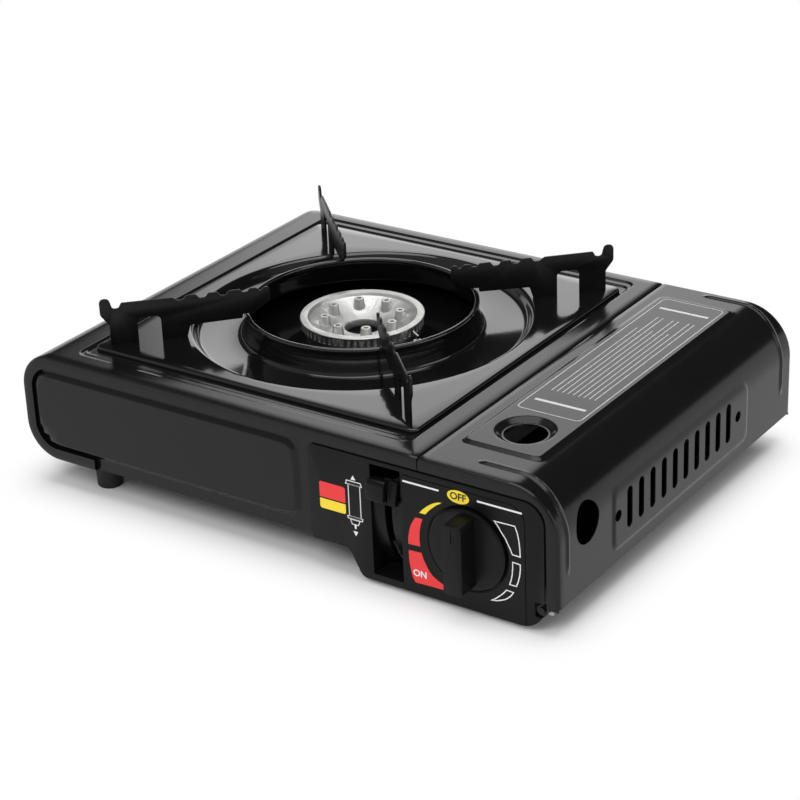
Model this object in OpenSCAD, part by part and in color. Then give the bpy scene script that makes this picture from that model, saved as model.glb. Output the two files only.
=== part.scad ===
// Butane cassette stove.
// X runs along the front, Y from the front to the back, Z up from the table.
// Inside the modules x = 0 is the left wall and y = 0 the front flange; place() moves
// that corner so that the origin is the middle of the footprint, on the table.

/* [Casing] */
// Width of the casing, left wall to lid wall
body_w = 345; // [335:1:370]
// Depth of the casing, front flange to rear flange
body_d = 256; // [248:1:275]
// Height of the top surface above the table
top_z = 80; // [79:0.5:88]
// Height of the underside of the burner side
base_z = 17; // [15:0.5:19]
// Height of the underside of the canister bay
bay_z = 3; // [2.5:0.1:4]
// Thickness of the sheet steel
sheet = 0.8; // [0.6:0.05:1]
// Radius of the two left corners of the shell
corner_r = 21; // [16:1:24]
// Width of the turned-in flange at the front and rear
flange_w = 7; // [5:0.5:7]
// How far the shell wraps under the left side
wrap_w = 48; // [40:1:60]
// Depth of the recess in the top that holds the drip pan
recess_h = 1.5; // [1.2:0.1:2]
// Margin of the recess past the pan, left and right
recess_side = 3.5; // [2:0.5:5]
// Margin of the recess past the pan, front and rear
recess_end = 11; // [6:0.5:13]

/* [Lid] */
// Width of the canister lid
lid_w = 81; // [80:0.5:90]
// Radius of the lid's outer edge
lid_r = 28; // [24:1:30]
// Gap between the lid and the shell along the seam
seam_gap = 0.6; // [0.4:0.1:1]
// Height of the lower edge of the lid's side
lid_low_z = 16.7; // [16:0.1:18]
// Height that pressed rectangles and beads stand proud
press_h = 1.3; // [0.8:0.1:1.6]
// Radius of the finger hole in the lid
finger_r = 11.4; // [9:0.1:13]
// Radius of the dish round the finger hole
dish_r = 16; // [15:0.5:18]
// Distance of the finger hole from the front
finger_y = 51.5; // [48:0.5:56]
// Radius of the round hole in the lid's side
side_hole_r = 11.2; // [8:0.1:12]
// Number of cooling slots in the lid's side
slot_count = 10; // [4:1:10]
// Distance from one cooling slot to the next
slot_pitch = 12.07; // [10:0.01:12.2]
// Width of a cooling slot
slot_w = 5.6; // [4:0.1:7]
// Height of a cooling slot
slot_h = 23; // [16:0.5:25]

/* [Drip pan] */
// Side of the square drip pan
pan_side = 213; // [211:0.5:216]
// Thickness of the drip pan
pan_t = 0.7; // [0.5:0.05:0.9]
// Height of the pan's plate above the top surface
pan_rise = 0.8; // [0.6:0.05:1.2]
// Outer radius of the round channel
channel_r = 96; // [93:0.5:97]
// Depth of the round channel
channel_h = 6.5; // [5:0.5:8]
// Radius of the ring wall at its rim
ring_r = 64.5; // [62:0.5:67]
// Height of the ring wall above the top surface
ring_h = 10; // [8:0.5:12]
// Radius of the rolled rim
rim_r = 1.3; // [1:0.1:1.5]

/* [Pan supports] */
// Thickness of a support arm
arm_t = 1.3; // [1:0.1:2]
// Height of a support arm's straight top above the top surface
arm_h = 24.8; // [23:0.2:27]
// Depth of the notches between the arm's bumps
bump_h = 2.4; // [1.5:0.1:3]

/* [Burner] */
// Radius of the burner head
burner_r = 35.1; // [33:0.1:37]
// Height of the burner rim above the top surface
burner_rise = 2.5; // [1.5:0.1:4]
// Width of the flat rim
burner_rim_w = 4.6; // [3:0.1:6]
// Number of posts on the burner head
post_count = 8; // [4:1:10]
// Radius of the circle of posts
post_circle_r = 21.3; // [20:0.1:22.5]
// Angle of the first post from the right, in degrees
post_turn = -5; // [-22:1:22]
// Number of flame slots
flame_count = 58; // [30:1:64]
// Radius of the mixing tube
tube_r = 9; // [7:0.5:10]

/* [Controls] */
// Thickness of the fascia
fascia_t = 2.5; // [2:0.1:3]
// Height of the fascia's upper edge
fascia_top = 72.6; // [71:0.1:72.8]
// Distance of the fascia's left edge from the lid wall
fascia_from_right = 148; // [145:1:153]
// Distance of the knob's axis from the lid wall
knob_from_right = 51.3; // [49:0.1:54]
// Radius of the knob's skirt
knob_r = 22.3; // [18:0.1:24]
// How far the knob's grip reaches in front of the casing
knob_reach = 16; // [13:0.5:20]
// Width of the grip
grip_w = 11; // [8:0.1:13]
// Radius of the valve spindle
spindle_r = 3; // [2.5:0.1:3.5]
// Radial clearance of turning shafts in their holes
run_gap = 0.05; // [0.02:0.01:0.09]
// Distance of the lever slot's left side from the lid wall
slot_from_right = 109.4; // [107:0.1:111]
// Width of the lever slot
slot_gap_w = 18.4; // [17.5:0.1:20]
// Width of the lever's finger tab
tab_w = 15.4; // [12:0.1:16]
// Distance of the lever's pivot behind the front
pivot_y = 58; // [56:0.5:60]
// Height of the lever's pivot
pivot_z = 44; // [43:0.2:46]
// Length of the crank that moves the cradle
crank_l = 13.6; // [12:0.1:14]

/* [Canister bay] */
// Radius of the gas canister that the bay takes
canister_r = 34; // [33:0.1:34.5]
// Height of the canister's axis
canister_z = 40.5; // [40:0.1:42]
// Length that the cradle supports
cradle_l = 38; // [25:1:45]

/* [Feet] */
// Radius of a foot
foot_r = 8; // [6:0.5:9]
// Distance of the feet from the front and rear
foot_in = 18; // [14:1:24]

/* [Hidden] */
$fn = 72;

black = "#161617";
steel = "#b9bcc0";
zinc = "#9a9c9f";
brass = "#b8923d";
copper = "#b06b45";
plastic = "#1c1c1d";

seam_x = body_w - lid_w;
pan_x = seam_x / 2 + 9;
pan_y = body_d / 2 + 2;
pan_top = top_z + pan_rise;
floor_z = base_z + sheet;
recess_z = top_z - recess_h;
knob_x = body_w - knob_from_right;
knob_z = (fascia_top + bay_z) / 2;
canister_x = body_w - 41;
fascia_x = body_w - fascia_from_right;
slot_x = body_w - slot_from_right;
tray_wall_x = body_w - sheet - 1.2;
tray_r = 24;
hinge_x = body_w - 9.5;
hinge_z = 14.5;
hinge_r = 1.5;
bracket_y = 9;
rear_wall_y = body_d - 3.2;
slot_mid_x = slot_x + slot_gap_w / 2;
channel_z = pan_top - channel_h;
well_r = channel_r + 3.5;
tube_z = 34;
shutter_x = pan_x + 87;
pipe_x = seam_x - 7.5;
pipe_r = 2.5;
lever_rest = 12.5;
rail_r = pivot_y - 1;
tab_in = rail_r + 1.3;
tab_out = rail_r + 10.5;
bar_x = seam_x + 3.6;
bar_z = pivot_z + crank_l;
stop_y = rear_wall_y - 10.2;

// Moves the left front corner of the casing so that the footprint is centred.
module place() {
    translate([-body_w / 2, -(body_d - knob_reach) / 2, 0]) children();
}

// Puts an XZ outline upright and gives it a depth along +Y from y.
module upright(y, depth) {
    translate([0, y + depth, 0]) rotate([90, 0, 0]) linear_extrude(depth) children();
}

// A cylinder along +Y from y.
module along_y(x, y, z, r, depth) {
    translate([x, y, z]) rotate([-90, 0, 0]) cylinder(h = depth, r = r);
}

// A cylinder along +X from x.
module along_x(x, y, z, r, length) {
    translate([x, y, z]) rotate([0, 90, 0]) cylinder(h = length, r = r);
}

// A block given by its low and high corners.
module block(low, high) {
    translate(low) cube(high - low);
}

// The two tangent points and the arc between them at one corner of a path.
function corner_arc(a, p, b, r, n) =
    let(
        u = (a - p) / norm(a - p),
        v = (b - p) / norm(b - p),
        half = acos(u * v) / 2,
        c = p + (u + v) / norm(u + v) * r / sin(half),
        from = p + u * r / tan(half) - c,
        to = p + v * r / tan(half) - c,
        start = atan2(from.y, from.x),
        turn = atan2(to.y, to.x) - start,
        sweep = turn > 180 ? turn - 360 : (turn < -180 ? turn + 360 : turn)
    )
    [for (i = [0:n]) c + r * [cos(start + sweep * i / n), sin(start + sweep * i / n)]];

// A closed outline from [x, y, corner radius] points.
function rounded(path, n = 6) =
    let(count = len(path), at = [for (p = path) [p.x, p.y]])
    [for (i = [0:count - 1])
        each (path[i].z > 0
            ? corner_arc(at[(i + count - 1) % count], at[i], at[(i + 1) % count], path[i].z, n)
            : [at[i]])];

// A rectangle with true round corners, low corner at [x, y].
module round_rect(x, y, w, h, r) {
    translate([x + r, y]) square([w - 2 * r, h]);
    translate([x, y + r]) square([w, h - 2 * r]);
    for (cx = [x + r, x + w - r], cy = [y + r, y + h - r]) {
        translate([cx, cy]) circle(r);
    }
}

// A pressed rectangle on a top surface: proud outside, hollow inside, same sheet.
module pressed_top(x, y, w, d, z) {
    translate([0, 0, z]) linear_extrude(press_h) round_rect(x, y, w, d, 4);
}

// ---------------------------------------------------------------- casing

// Cross-section of the shell, seen from the front, drawn g inside its outer face.
module shell_outline(g) {
    round_rect(g, base_z + g, seam_x + 2 * corner_r, top_z - base_z - 2 * g, corner_r - g);
}

module shell_skin() {
    difference() {
        upright(0, body_d) shell_outline(0);
        upright(sheet, body_d - 2 * sheet) shell_outline(sheet);
        // open front and rear inside the flanges
        upright(-1, body_d + 2) shell_outline(flange_w);
        // open below, right of the wrap
        block([wrap_w, -1, base_z - 1], [body_w + corner_r * 2, body_d + 1, base_z + flange_w + 1]);
        // open to the right of the seam
        block([seam_x - seam_gap / 2, -1, 0], [body_w + corner_r * 3, body_d + 1, top_z + 1]);
    }
}

module recess_outline(g) {
    round_rect(
        pan_x - pan_side / 2 - recess_side + g,
        pan_y - pan_side / 2 - recess_end + g,
        pan_side + 2 * recess_side - 2 * g,
        pan_side + 2 * recess_end - 2 * g,
        5 - g
    );
}

module casing_shell() {
    color(black) place() difference() {
        union() {
            shell_skin();
            // sheet of the recess, walls and floor
            translate([0, 0, recess_z - sheet]) linear_extrude(recess_h + sheet - 0.01) recess_outline(-sheet);
            // turned-down edge along the seam
            block(
                [seam_x - seam_gap / 2 - sheet, sheet, top_z - flange_w],
                [seam_x - seam_gap / 2, body_d - sheet, top_z - sheet / 2]
            );
        }
        translate([0, 0, recess_z]) linear_extrude(recess_h + 1) recess_outline(0);
        translate([pan_x, pan_y, recess_z - 10]) cylinder(h = 20, r = well_r - 0.5);
        for (s = [0:3]) {
            rivet_place(s) translate([0, 0, -3]) cylinder(h = 4, r = 1.55);
        }
        for (i = [0:1]) {
            translate([foot_spots()[i].x, foot_spots()[i].y, base_z - 1]) cylinder(h = 4, r = 2);
        }
    }
}

// Outline of the pressed rectangle on the front panel.
press_x = flange_w + 0.4;
front_press = [
    [press_x, base_z + 7.4, 15], [fascia_x - 8, base_z + 7.4, 6],
    [fascia_x - 8, top_z - 9.5, 9], [press_x, top_z - 9.5, 11]
];

module front_panel() {
    color(black) place() difference() {
        union() {
            upright(2.6, sheet) intersection() {
                shell_outline(2);
                translate([0, base_z + 1.8]) square([seam_x - 2, top_z]);
            }
            upright(0.3, 2.5) polygon(rounded(front_press, 8));
            // lower turned edge, outside the wrap
            block([wrap_w + 1, 1.2, base_z], [fascia_x - 3, 2.6 + sheet, base_z + 2.4]);
        }
        upright(0.3 + sheet, 6) offset_press(sheet);
        // room for the lever and its slot
        upright(-1, 6) translate([slot_x - 3, base_z]) square([slot_gap_w + 16, 56]);
    }
}

// The pressed rectangle's inner face.
module offset_press(g) {
    polygon(rounded([
        [press_x + g, base_z + 7.4 + g, 15 - g], [fascia_x - 8 - g, base_z + 7.4 + g, 6 - g],
        [fascia_x - 8 - g, top_z - 9.5 - g, 9 - g], [press_x + g, top_z - 9.5 - g, 11 - g]
    ], 8));
}

// Cross-section of the tray's deep side under the canister.
module bay_outline(g) {
    translate([seam_x - 2 + g, bay_z + g]) square([tray_wall_x - seam_x + 2 - g - tray_r, top_z]);
    translate([seam_x - 2 + g, bay_z + tray_r]) square([tray_wall_x - seam_x + 2 - 2 * g, top_z]);
    translate([tray_wall_x - tray_r, bay_z + tray_r]) circle(tray_r - g);
}

tray_rim_z = bay_z + tray_r + 1;

// Nearest that the lid's lip comes to the hinge as the lid turns.
lip_swing_r = norm([seam_x + seam_gap / 2 + sheet - hinge_x, top_z - flange_w - hinge_z]);

module bottom_tray() {
    color(black) place() difference() {
        union() {
            // floor of the burner side, inside the shell's wrap
            block([wrap_w + 0.3, 2.6 + sheet, base_z], [seam_x - 2 + sheet, rear_wall_y + sheet, floor_z]);
            block([corner_r, 2.6 + sheet, floor_z + 0.02], [wrap_w + 6, rear_wall_y + sheet, floor_z + sheet]);
            // rear wall of the burner side
            upright(rear_wall_y, sheet) intersection() {
                shell_outline(1.5);
                square([seam_x - 2 + sheet, top_z - 2]);
            }
            // canister bay: floor, right wall, step and rear wall
            difference() {
                upright(bracket_y + sheet + 0.2, rear_wall_y - bracket_y - 0.2) bay_outline(0);
                upright(bracket_y - 1, rear_wall_y - bracket_y + 1) bay_outline(sheet);
                block([0, -1, tray_rim_z], [body_w + 40, body_d, top_z * 3]);
                block([0, -1, floor_z], [seam_x + 10, rear_wall_y, top_z * 3]);
            }
            // rear wall of the bay, clear of the lid's lip as it swings up
            upright(rear_wall_y, sheet) intersection() {
                lid_outline(2);
                translate([0, bay_z + tray_r - 2]) square([tray_wall_x, top_z]);
                translate([hinge_x, hinge_z]) circle(lip_swing_r - 0.8);
            }
            block([seam_x - 2, rear_wall_y, floor_z - 0.4], [seam_x + 6, rear_wall_y + sheet, top_z - flange_w - 3]);
        }
        // room for the box round the lever
        block([slot_x - 4, 0, base_z - 5], [slot_x + slot_gap_w + 4, 18, base_z + 5]);
        // room for the control bracket's left edge
        block([slot_x + slot_gap_w + 2.9, 0, base_z - 1], [seam_x + 1, bracket_y + sheet + 0.05, floor_z + 1]);
        // vents in the rear wall
        for (i = [0:11]) {
            upright(rear_wall_y - 1, 3) translate([pan_x - 77 + 14 * i, base_z + 16]) square([5, 26]);
        }
        along_y(hinge_x, rear_wall_y - 1, hinge_z, hinge_r + 0.03, 4);
        for (p = foot_spots()) {
            translate([p.x, p.y, 0]) cylinder(h = base_z + 10, r = 2);
        }
    }
}

module partition_wall() {
    color(black) place() difference() {
        block(
            [seam_x - 2 - 0.4, bracket_y + sheet + 0.02, floor_z + 0.02],
            [seam_x - 2 + 0.4, rear_wall_y - 0.02, top_z - sheet - 0.3]
        );
        along_x(seam_x - 5, 27, tube_z, pipe_r + 1, 10);
        along_x(seam_x - 5, pivot_y, pivot_z, 4, 10);
        along_x(seam_x - 5, lead_y, lead_z, 2, 10);
    }
}

well_low_z = top_z - 20;
well_mid_z = top_z - 14;
well_hole_r = burner_r - 9.1;
well_floor_r = burner_r + 12.9;
well_slope_r = well_r - 19.5;
well_flange_r = well_r + 7;

module burner_well() {
    color(black) place() difference() {
        translate([pan_x, pan_y, 0]) rotate_extrude() polygon([
            [well_hole_r, well_low_z], [well_floor_r, well_low_z], [well_slope_r, well_mid_z],
            [well_r - sheet, well_mid_z], [well_r - sheet, recess_z - sheet],
            [well_flange_r, recess_z - sheet], [well_flange_r, recess_z - 2 * sheet],
            [well_r, recess_z - 2 * sheet], [well_r, well_mid_z - sheet], [well_slope_r, well_mid_z - sheet],
            [well_floor_r, well_low_z - sheet], [well_hole_r, well_low_z - sheet]
        ]);
        for (s = [0:3]) {
            rivet_place(s) translate([0, 0, -4]) cylinder(h = 8, r = 1.55);
        }
        translate([electrode_x, electrode_y, 50]) cylinder(h = 30, r = 2.7);
    }
}

// Places of the four rivets that hold the well to the shell.
module rivet_place(s) {
    rotate_about(45 + 90 * s) translate([well_r + 3.9, 0, recess_z]) children();
}

module rotate_about(angle) {
    translate([pan_x, pan_y, 0]) rotate(angle) children();
}

module shell_rivets() {
    color(steel) place() for (s = [0:3]) {
        rivet_place(s) {
            translate([0, 0, -2 * sheet - 1.2]) cylinder(h = 2 * sheet + 1.4, r = 1.5);
            translate([0, 0, -2 * sheet - 1.2]) cylinder(h = 1.2, r = 2.6);
        }
    }
}

// ---------------------------------------------------------------- lid

// Cross-section of the lid, seen from the front, drawn g inside its outer face.
module lid_outline(g) {
    left = seam_x + seam_gap / 2;
    translate([left + g, lid_low_z - 20]) square([lid_w - seam_gap / 2 - lid_r - g, top_z - lid_low_z + 20 - g]);
    translate([left + g, lid_low_z - 20]) square([lid_w - seam_gap / 2 - 2 * g, top_z - lid_low_z + 20 - lid_r]);
    translate([body_w - lid_r, top_z - lid_r]) circle(lid_r - g);
}

lid_press_x = seam_x + 8;
lid_press_w = 47.5;
lid_press_y = 26;
lid_press_d = body_d - 44;
side_press_y = 52;
side_press_d = 150;
side_press_z = lid_low_z + 8.5;
side_press_h = 34;
slot_y = side_press_y + 16.8;
slot_z = side_press_z + 6.5;

// One rounded slot through the lid's side.
module lid_slot(y) {
    translate([body_w - 6, y, slot_z + slot_w / 2]) {
        rotate([0, 90, 0]) cylinder(h = 10, r = slot_w / 2);
        translate([0, 0, slot_h - slot_w]) rotate([0, 90, 0]) cylinder(h = 10, r = slot_w / 2);
        translate([0, -slot_w / 2, 0]) cube([10, slot_w, slot_h - slot_w]);
    }
}

// A bead that runs over the top and down the side of the lid.
module lid_bead(y) {
    difference() {
        intersection() {
            upright(y - 1.4, 2.8) lid_outline(-press_h * 0.6);
            union() {
                block([body_w - lid_r - 24, y - 5, top_z - lid_r], [body_w + 5, y + 5, top_z + 5]);
                block([body_w - 5, y - 5, top_z - lid_r - 18], [body_w + 5, y + 5, top_z]);
            }
        }
        upright(y - 2, 4) lid_outline(sheet / 2);
    }
}

// The ear round a hinge pin, from y.
module lid_ear(y) {
    difference() {
        union() {
            along_y(hinge_x, y, hinge_z, 3.1, sheet);
            block([hinge_x, y, hinge_z + 0.6], [body_w - sheet / 2, y + sheet, hinge_z + 3]);
            block([fascia_right + 0.5, y, hinge_z + 1], [body_w - sheet / 2, y + sheet, lid_low_z + 8]);
        }
        along_y(hinge_x, y - 1, hinge_z, hinge_r + run_gap, 3);
    }
}

module canister_lid() {
    color(black) place() difference() {
        union() {
            difference() {
                upright(0, body_d) lid_outline(0);
                upright(sheet, body_d - 2 * sheet) lid_outline(sheet);
                // open front and rear, round the fascia's outline
                upright(-1, body_d + 2) polygon(rounded([
                    [seam_x - 20, -20, 0], [fascia_right + 0.5, -20, 0],
                    [fascia_right + 0.5, fascia_top + 0.4, 12.4], [seam_x - 20, fascia_top + 0.4, 0]
                ], 8));
                block([0, -1, -20], [body_w + 5, body_d + 1, lid_low_z]);
                // the left wall is only a turned edge
                block(
                    [0, sheet, -20],
                    [seam_x + seam_gap / 2 + 2, body_d - sheet, top_z - flange_w]
                );
                
            }
            pressed_top(lid_press_x, lid_press_y, lid_press_w, lid_press_d, top_z - sheet / 2);
            translate([body_w - sheet / 2, 0, 0]) rotate([90, 0, 90]) linear_extrude(press_h)
                round_rect(side_press_y, side_press_z, side_press_d, side_press_h, 5);
            lid_bead(12.5);
            lid_bead(body_d - 8.5);
            lid_ear(0);
            lid_ear(body_d - sheet);
            // wall of the dish
            translate([lid_press_x + lid_press_w / 2, finger_y, top_z + press_h]) rotate_extrude() polygon([
                [finger_r - sheet, -3.2], [finger_r + 0.6, -3.2], [dish_r, -1.2], [dish_r, -sheet * 0.75],
                [dish_r - 1, -sheet * 0.75], [finger_r + 0.2, -2.4], [finger_r - sheet, -2.4]
            ]);
        }
        // hollow behind the pressed rectangles
        difference() {
            pressed_top(
                lid_press_x + sheet, lid_press_y + sheet, lid_press_w - 2 * sheet, lid_press_d - 2 * sheet,
                top_z - sheet * 1.5
            );
            translate([lid_press_x + lid_press_w / 2, finger_y, top_z - 10]) cylinder(h = 20, r = dish_r - 0.2);
        }
        translate([body_w - sheet * 1.5, 0, 0]) rotate([90, 0, 90]) linear_extrude(press_h)
            round_rect(
                side_press_y + sheet, side_press_z + sheet, side_press_d - 2 * sheet, side_press_h - 2 * sheet, 4
            );
        translate([lid_press_x + lid_press_w / 2, finger_y, top_z - 10]) cylinder(h = 20, r = finger_r);
        // open the dish above the finger hole
        translate([lid_press_x + lid_press_w / 2, finger_y, top_z + press_h]) rotate_extrude() polygon([
            [0, -2.4], [finger_r + 0.2, -2.4], [dish_r - 1, -sheet * 0.75], [dish_r - 0.4, 1], [0, 1]
        ]);
        along_x(body_w - 6, 28.2, top_z - 27.3, side_hole_r, 12);
        for (i = [0:slot_count - 1]) {
            lid_slot(slot_y + slot_pitch * i);
        }
        along_x(body_w - 6, side_press_y + 5.1, slot_z + 11.6, 3.1, 12);
        along_x(body_w - 6, side_press_y + side_press_d - 13, slot_z + 10.8, 3.1, 12);
    }
}

module hinge_pin_front() {
    color(steel) place() {
        along_y(hinge_x, -0.4, hinge_z, hinge_r, bracket_y + sheet + 1.4);
        along_y(hinge_x, -1.2, hinge_z, hinge_r + 0.4, 0.9);
    }
}

module hinge_pin_rear() {
    color(steel) place() {
        along_y(hinge_x, rear_wall_y - 3, hinge_z, hinge_r, body_d - rear_wall_y + 3);
        along_y(hinge_x, rear_wall_y - 1.6, hinge_z, hinge_r + 0.6, 1.5);
    }
}

// ---------------------------------------------------------------- drip pan and its supports

module pan_square(g) {
    round_rect(pan_x - pan_side / 2 + g, pan_y - pan_side / 2 + g, pan_side - 2 * g, pan_side - 2 * g, 4 - g);
}

// The slots in the pan that take an arm's two tabs.
module arm_slots() {
    for (s = [105.2, 133.2]) {
        translate([s - 3.2, -arm_t / 2 - 0.1, pan_top - 2]) cube([6.4, arm_t + 0.2, 4]);
    }
}

module drip_pan() {
    lip_z = recess_z + 0.2;
    foot_r_in = ring_r + 2.2;
    color(black) place() {
        difference() {
            translate([0, 0, lip_z]) linear_extrude(pan_top - lip_z) pan_square(0);
            translate([0, 0, lip_z - 1]) linear_extrude(pan_top - lip_z + 1 - pan_t) pan_square(pan_t);
            translate([pan_x, pan_y, 0]) cylinder(h = top_z * 2, r = channel_r - 0.01);
            for (a = [45:90:315]) {
                rotate_about(a) arm_slots();
            }
        }
        translate([pan_x, pan_y, 0]) rotate_extrude() polygon(rounded([
            [channel_r, pan_top, 0], [channel_r, pan_top - pan_t, 0],
            [channel_r - 1.2, pan_top - pan_t, 0], [channel_r - 6, channel_z - pan_t, 3],
            [foot_r_in - pan_t, channel_z - pan_t, 1],
            [ring_r - pan_t / 2, top_z + ring_h - 1.2, 0], [ring_r + pan_t / 2, top_z + ring_h - 1.2, 0],
            [foot_r_in + pan_t, channel_z, 1.5], [channel_r - 6.4, channel_z, 3], [channel_r - 1.8, pan_top, 1]
        ], 4));
        translate([pan_x, pan_y, top_z + ring_h - rim_r]) rotate_extrude()
            translate([ring_r, 0]) circle(rim_r, $fn = 24);
    }
}

// Outline of one support arm: distance from the burner's axis, height above the top surface.
function arm_path() =
    let(b = arm_h + 0.4, v = arm_h + 0.4 - bump_h, foot = pan_rise)
    [
        [112.5, foot, 0], [112.5, 15, 3], [125.5, 15, 3], [125.5, foot, 0],
        [130, foot, 0], [130, foot - 1.3, 0.4], [136.4, foot - 1.3, 0.4], [136.4, foot, 0],
        [141, foot, 0], [141, 12.5, 3], [145.6, 18.5, 4], [145.6, arm_h + 3.2, 2.6], [140.2, arm_h + 3.2, 2.6],
        [138.6, arm_h - 3, 1.6], [135.2, arm_h - 3, 1.6], [133.6, arm_h, 1], [105.5, arm_h, 2],
        [102.6, v, 1.4], [99.4, v, 1.4], [97.6, b, 1.4], [92.6, b, 1.4],
        [90.4, v, 1.4], [87.2, v, 1.4], [85.4, b, 1.4], [80.6, b, 1.4],
        [78.8, v, 1.4], [75.8, v, 1.4], [74, b, 1.4], [68, b, 1.4],
        [66.4, v + 0.6, 1.2], [63.8, v + 0.6, 1.2], [62.4, b, 1.2], [58.6, b, 1.2],
        [57.4, v + 0.6, 1], [55.6, v + 0.6, 1], [54.6, b, 1], [51.4, b, 1.6],
        [51.4, 17, 1.5], [61, ring_h + 0.4, 1.5], [67, ring_h + 0.4, 0.4], [67.4, 8, 0.6], [96.5, 7.4, 1.5],
        [98.5, foot, 0], [102, foot, 0], [102, foot - 1.3, 0.4], [108.4, foot - 1.3, 0.4], [108.4, foot, 0]
    ];

module pan_support(angle) {
    color(black) place() rotate_about(angle) translate([0, arm_t / 2, top_z]) rotate([90, 0, 0])
        linear_extrude(arm_t) polygon(rounded(arm_path(), 4));
}

module pan_support_rear_right() {
    pan_support(45);
}

module pan_support_rear_left() {
    pan_support(135);
}

module pan_support_front_left() {
    pan_support(225);
}

module pan_support_front_right() {
    pan_support(315);
}

// ---------------------------------------------------------------- burner

head_z = top_z + burner_rise;
slot_low_z = head_z - 6.5;
neck_r = burner_r - 2.6;

module burner_base() {
    color(zinc) place() difference() {
        translate([pan_x, pan_y, 0]) rotate_extrude() polygon(rounded([
            [0, tube_z - 11, 0], [19, tube_z - 11, 3], [20, 56, 4], [neck_r, slot_low_z - 6, 4],
            [neck_r, slot_low_z - 0.02, 0], [neck_r - 3, slot_low_z - 0.02, 0], [neck_r - 3, slot_low_z - 5, 4],
            [17, 57, 4], [16, tube_z - 8, 3], [0, tube_z - 8, 0]
        ], 4));
        along_x(pan_x, pan_y, tube_z, tube_r + 0.05, 40);
        for (a = [60:120:300]) {
            rotate_about(a) translate([10, 0, tube_z - 14]) cylinder(h = 8, r = 1.6);
        }
    }
}

module burner_screws() {
    color(steel) place() for (a = [60:120:300]) {
        rotate_about(a) translate([10, 0, floor_z]) {
            cylinder(h = tube_z - 11 - floor_z, r = 3.2);
            cylinder(h = tube_z - 9 - floor_z, r = 1.55);
        }
    }
}

module flame_ring() {
    color("#c9cbcd") place() translate([pan_x, pan_y, 0]) difference() {
        translate([0, 0, slot_low_z]) cylinder(h = head_z - 1.1 - slot_low_z, r = burner_r - 0.7);
        translate([0, 0, slot_low_z - 1]) cylinder(h = 20, r = burner_r - 4);
        for (i = [0:flame_count - 1]) {
            rotate(360 / flame_count * i) translate([burner_r - 2.4, -0.7, slot_low_z + 1.2]) cube([5, 1.4, 20]);
        }
    }
}

// One conical post with a blind hole, standing on the bowl.
module burner_post() {
    difference() {
        cylinder(h = 7.6, r1 = 3.7, r2 = 2.7, $fn = 32);
        translate([0, 0, 4]) cylinder(h = 8, r = 1.3, $fn = 24);
    }
}

module burner_head() {
    bowl_r = burner_r - burner_rim_w;
    color("#d5d6d8") place() translate([pan_x, pan_y, head_z]) {
        difference() {
            rotate_extrude() polygon([
                [burner_r - 4.1, -1.1], [burner_r, -1.1], [burner_r, -0.25], [burner_r - 0.3, 0], [bowl_r + 0.3, 0],
                [bowl_r, -0.4], [bowl_r - 0.6, -1.8], [13, -7.4], [10.6, -7.8], [10.4, -8.4], [10.2, -12],
                [12, -12], [12.2, -9.4], [bowl_r - 0.6, -3.6]
            ]);
            for (i = [0:post_count - 1]) {
                rotate(post_turn + 360 / post_count * i) translate([post_circle_r, 0, -20]) cylinder(h = 30, r = 2.4, $fn = 32);
            }
        }
        for (i = [0:post_count - 1]) {
            rotate(post_turn + 360 / post_count * i) translate([post_circle_r, 0, -7]) burner_post();
        }
    }
}

module mixing_tube() {
    color(zinc) place() difference() {
        union() {
            along_x(pan_x + 14, pan_y, tube_z, tube_r, shutter_x - pan_x - 14);
            along_x(shutter_x - 6, pan_y, tube_z, tube_r + 1.5, 6);
        }
        along_x(pan_x + 10, pan_y, tube_z, tube_r - 1.5, shutter_x - pan_x + 10);
    }
}

module air_shutter() {
    color(steel) place() difference() {
        along_x(shutter_x - 5.5, pan_y, tube_z, tube_r + 2.6, 13.5);
        along_x(shutter_x - 6.5, pan_y, tube_z, tube_r + 1.55, 6.5);
        along_x(shutter_x - 1, pan_y, tube_z, tube_r - 0.5, 7.8);
        along_x(shutter_x - 1, pan_y, tube_z, 2.55, 20);
        for (a = [0:90:270]) {
            translate([shutter_x + 1, pan_y, tube_z]) rotate([a, 0, 0]) translate([0, -3.5, 0]) cube([4.6, 7, 20]);
        }
    }
}

module gas_nozzle() {
    color(brass) place() difference() {
        union() {
            along_x(shutter_x + 3, pan_y, tube_z, 2.5, 8);
            translate([shutter_x + 8, pan_y, tube_z]) rotate([0, 90, 0]) cylinder(h = 5, r = 4.6, $fn = 6);
        }
        along_x(shutter_x, pan_y, tube_z, 0.5, 20);
    }
}

// Elbow ball and runs of the gas tube from the governor to the nozzle.
module gas_tube() {
    run_y = 27;
    color(copper) place() {
        along_x(shutter_x + 13, pan_y, tube_z, pipe_r, pipe_x - shutter_x - 13);
        translate([pipe_x, pan_y, tube_z]) sphere(pipe_r + 0.02);
        along_y(pipe_x, run_y, tube_z, pipe_r, pan_y - run_y);
        translate([pipe_x, run_y, tube_z]) sphere(pipe_r + 0.02);
        along_x(pipe_x, run_y, tube_z, pipe_r, governor_x - pipe_x);
    }
}

electrode_x = pan_x + 40.5;
electrode_y = pan_y - 5;

module electrode_insulator() {
    color("#e9e6dc") place() translate([electrode_x, electrode_y, 0]) difference() {
        union() {
            translate([0, 0, 50]) cylinder(h = 26.8, r = 2.4);
            translate([0, 0, 60.9]) cylinder(h = 2.4, r = 3.6);
        }
        translate([0, 0, 49]) cylinder(h = 30, r = 0.82);
    }
}

module electrode_tip() {
    color(steel) place() translate([electrode_x, electrode_y, 0]) {
        translate([0, 0, 50]) cylinder(h = 29.4, r = 0.8);
        translate([0, 0, 79.4]) sphere(0.82);
        translate([0, 0, 79.4]) rotate([0, -55, 0]) cylinder(h = 3.6, r = 0.8);
    }
}

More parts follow.
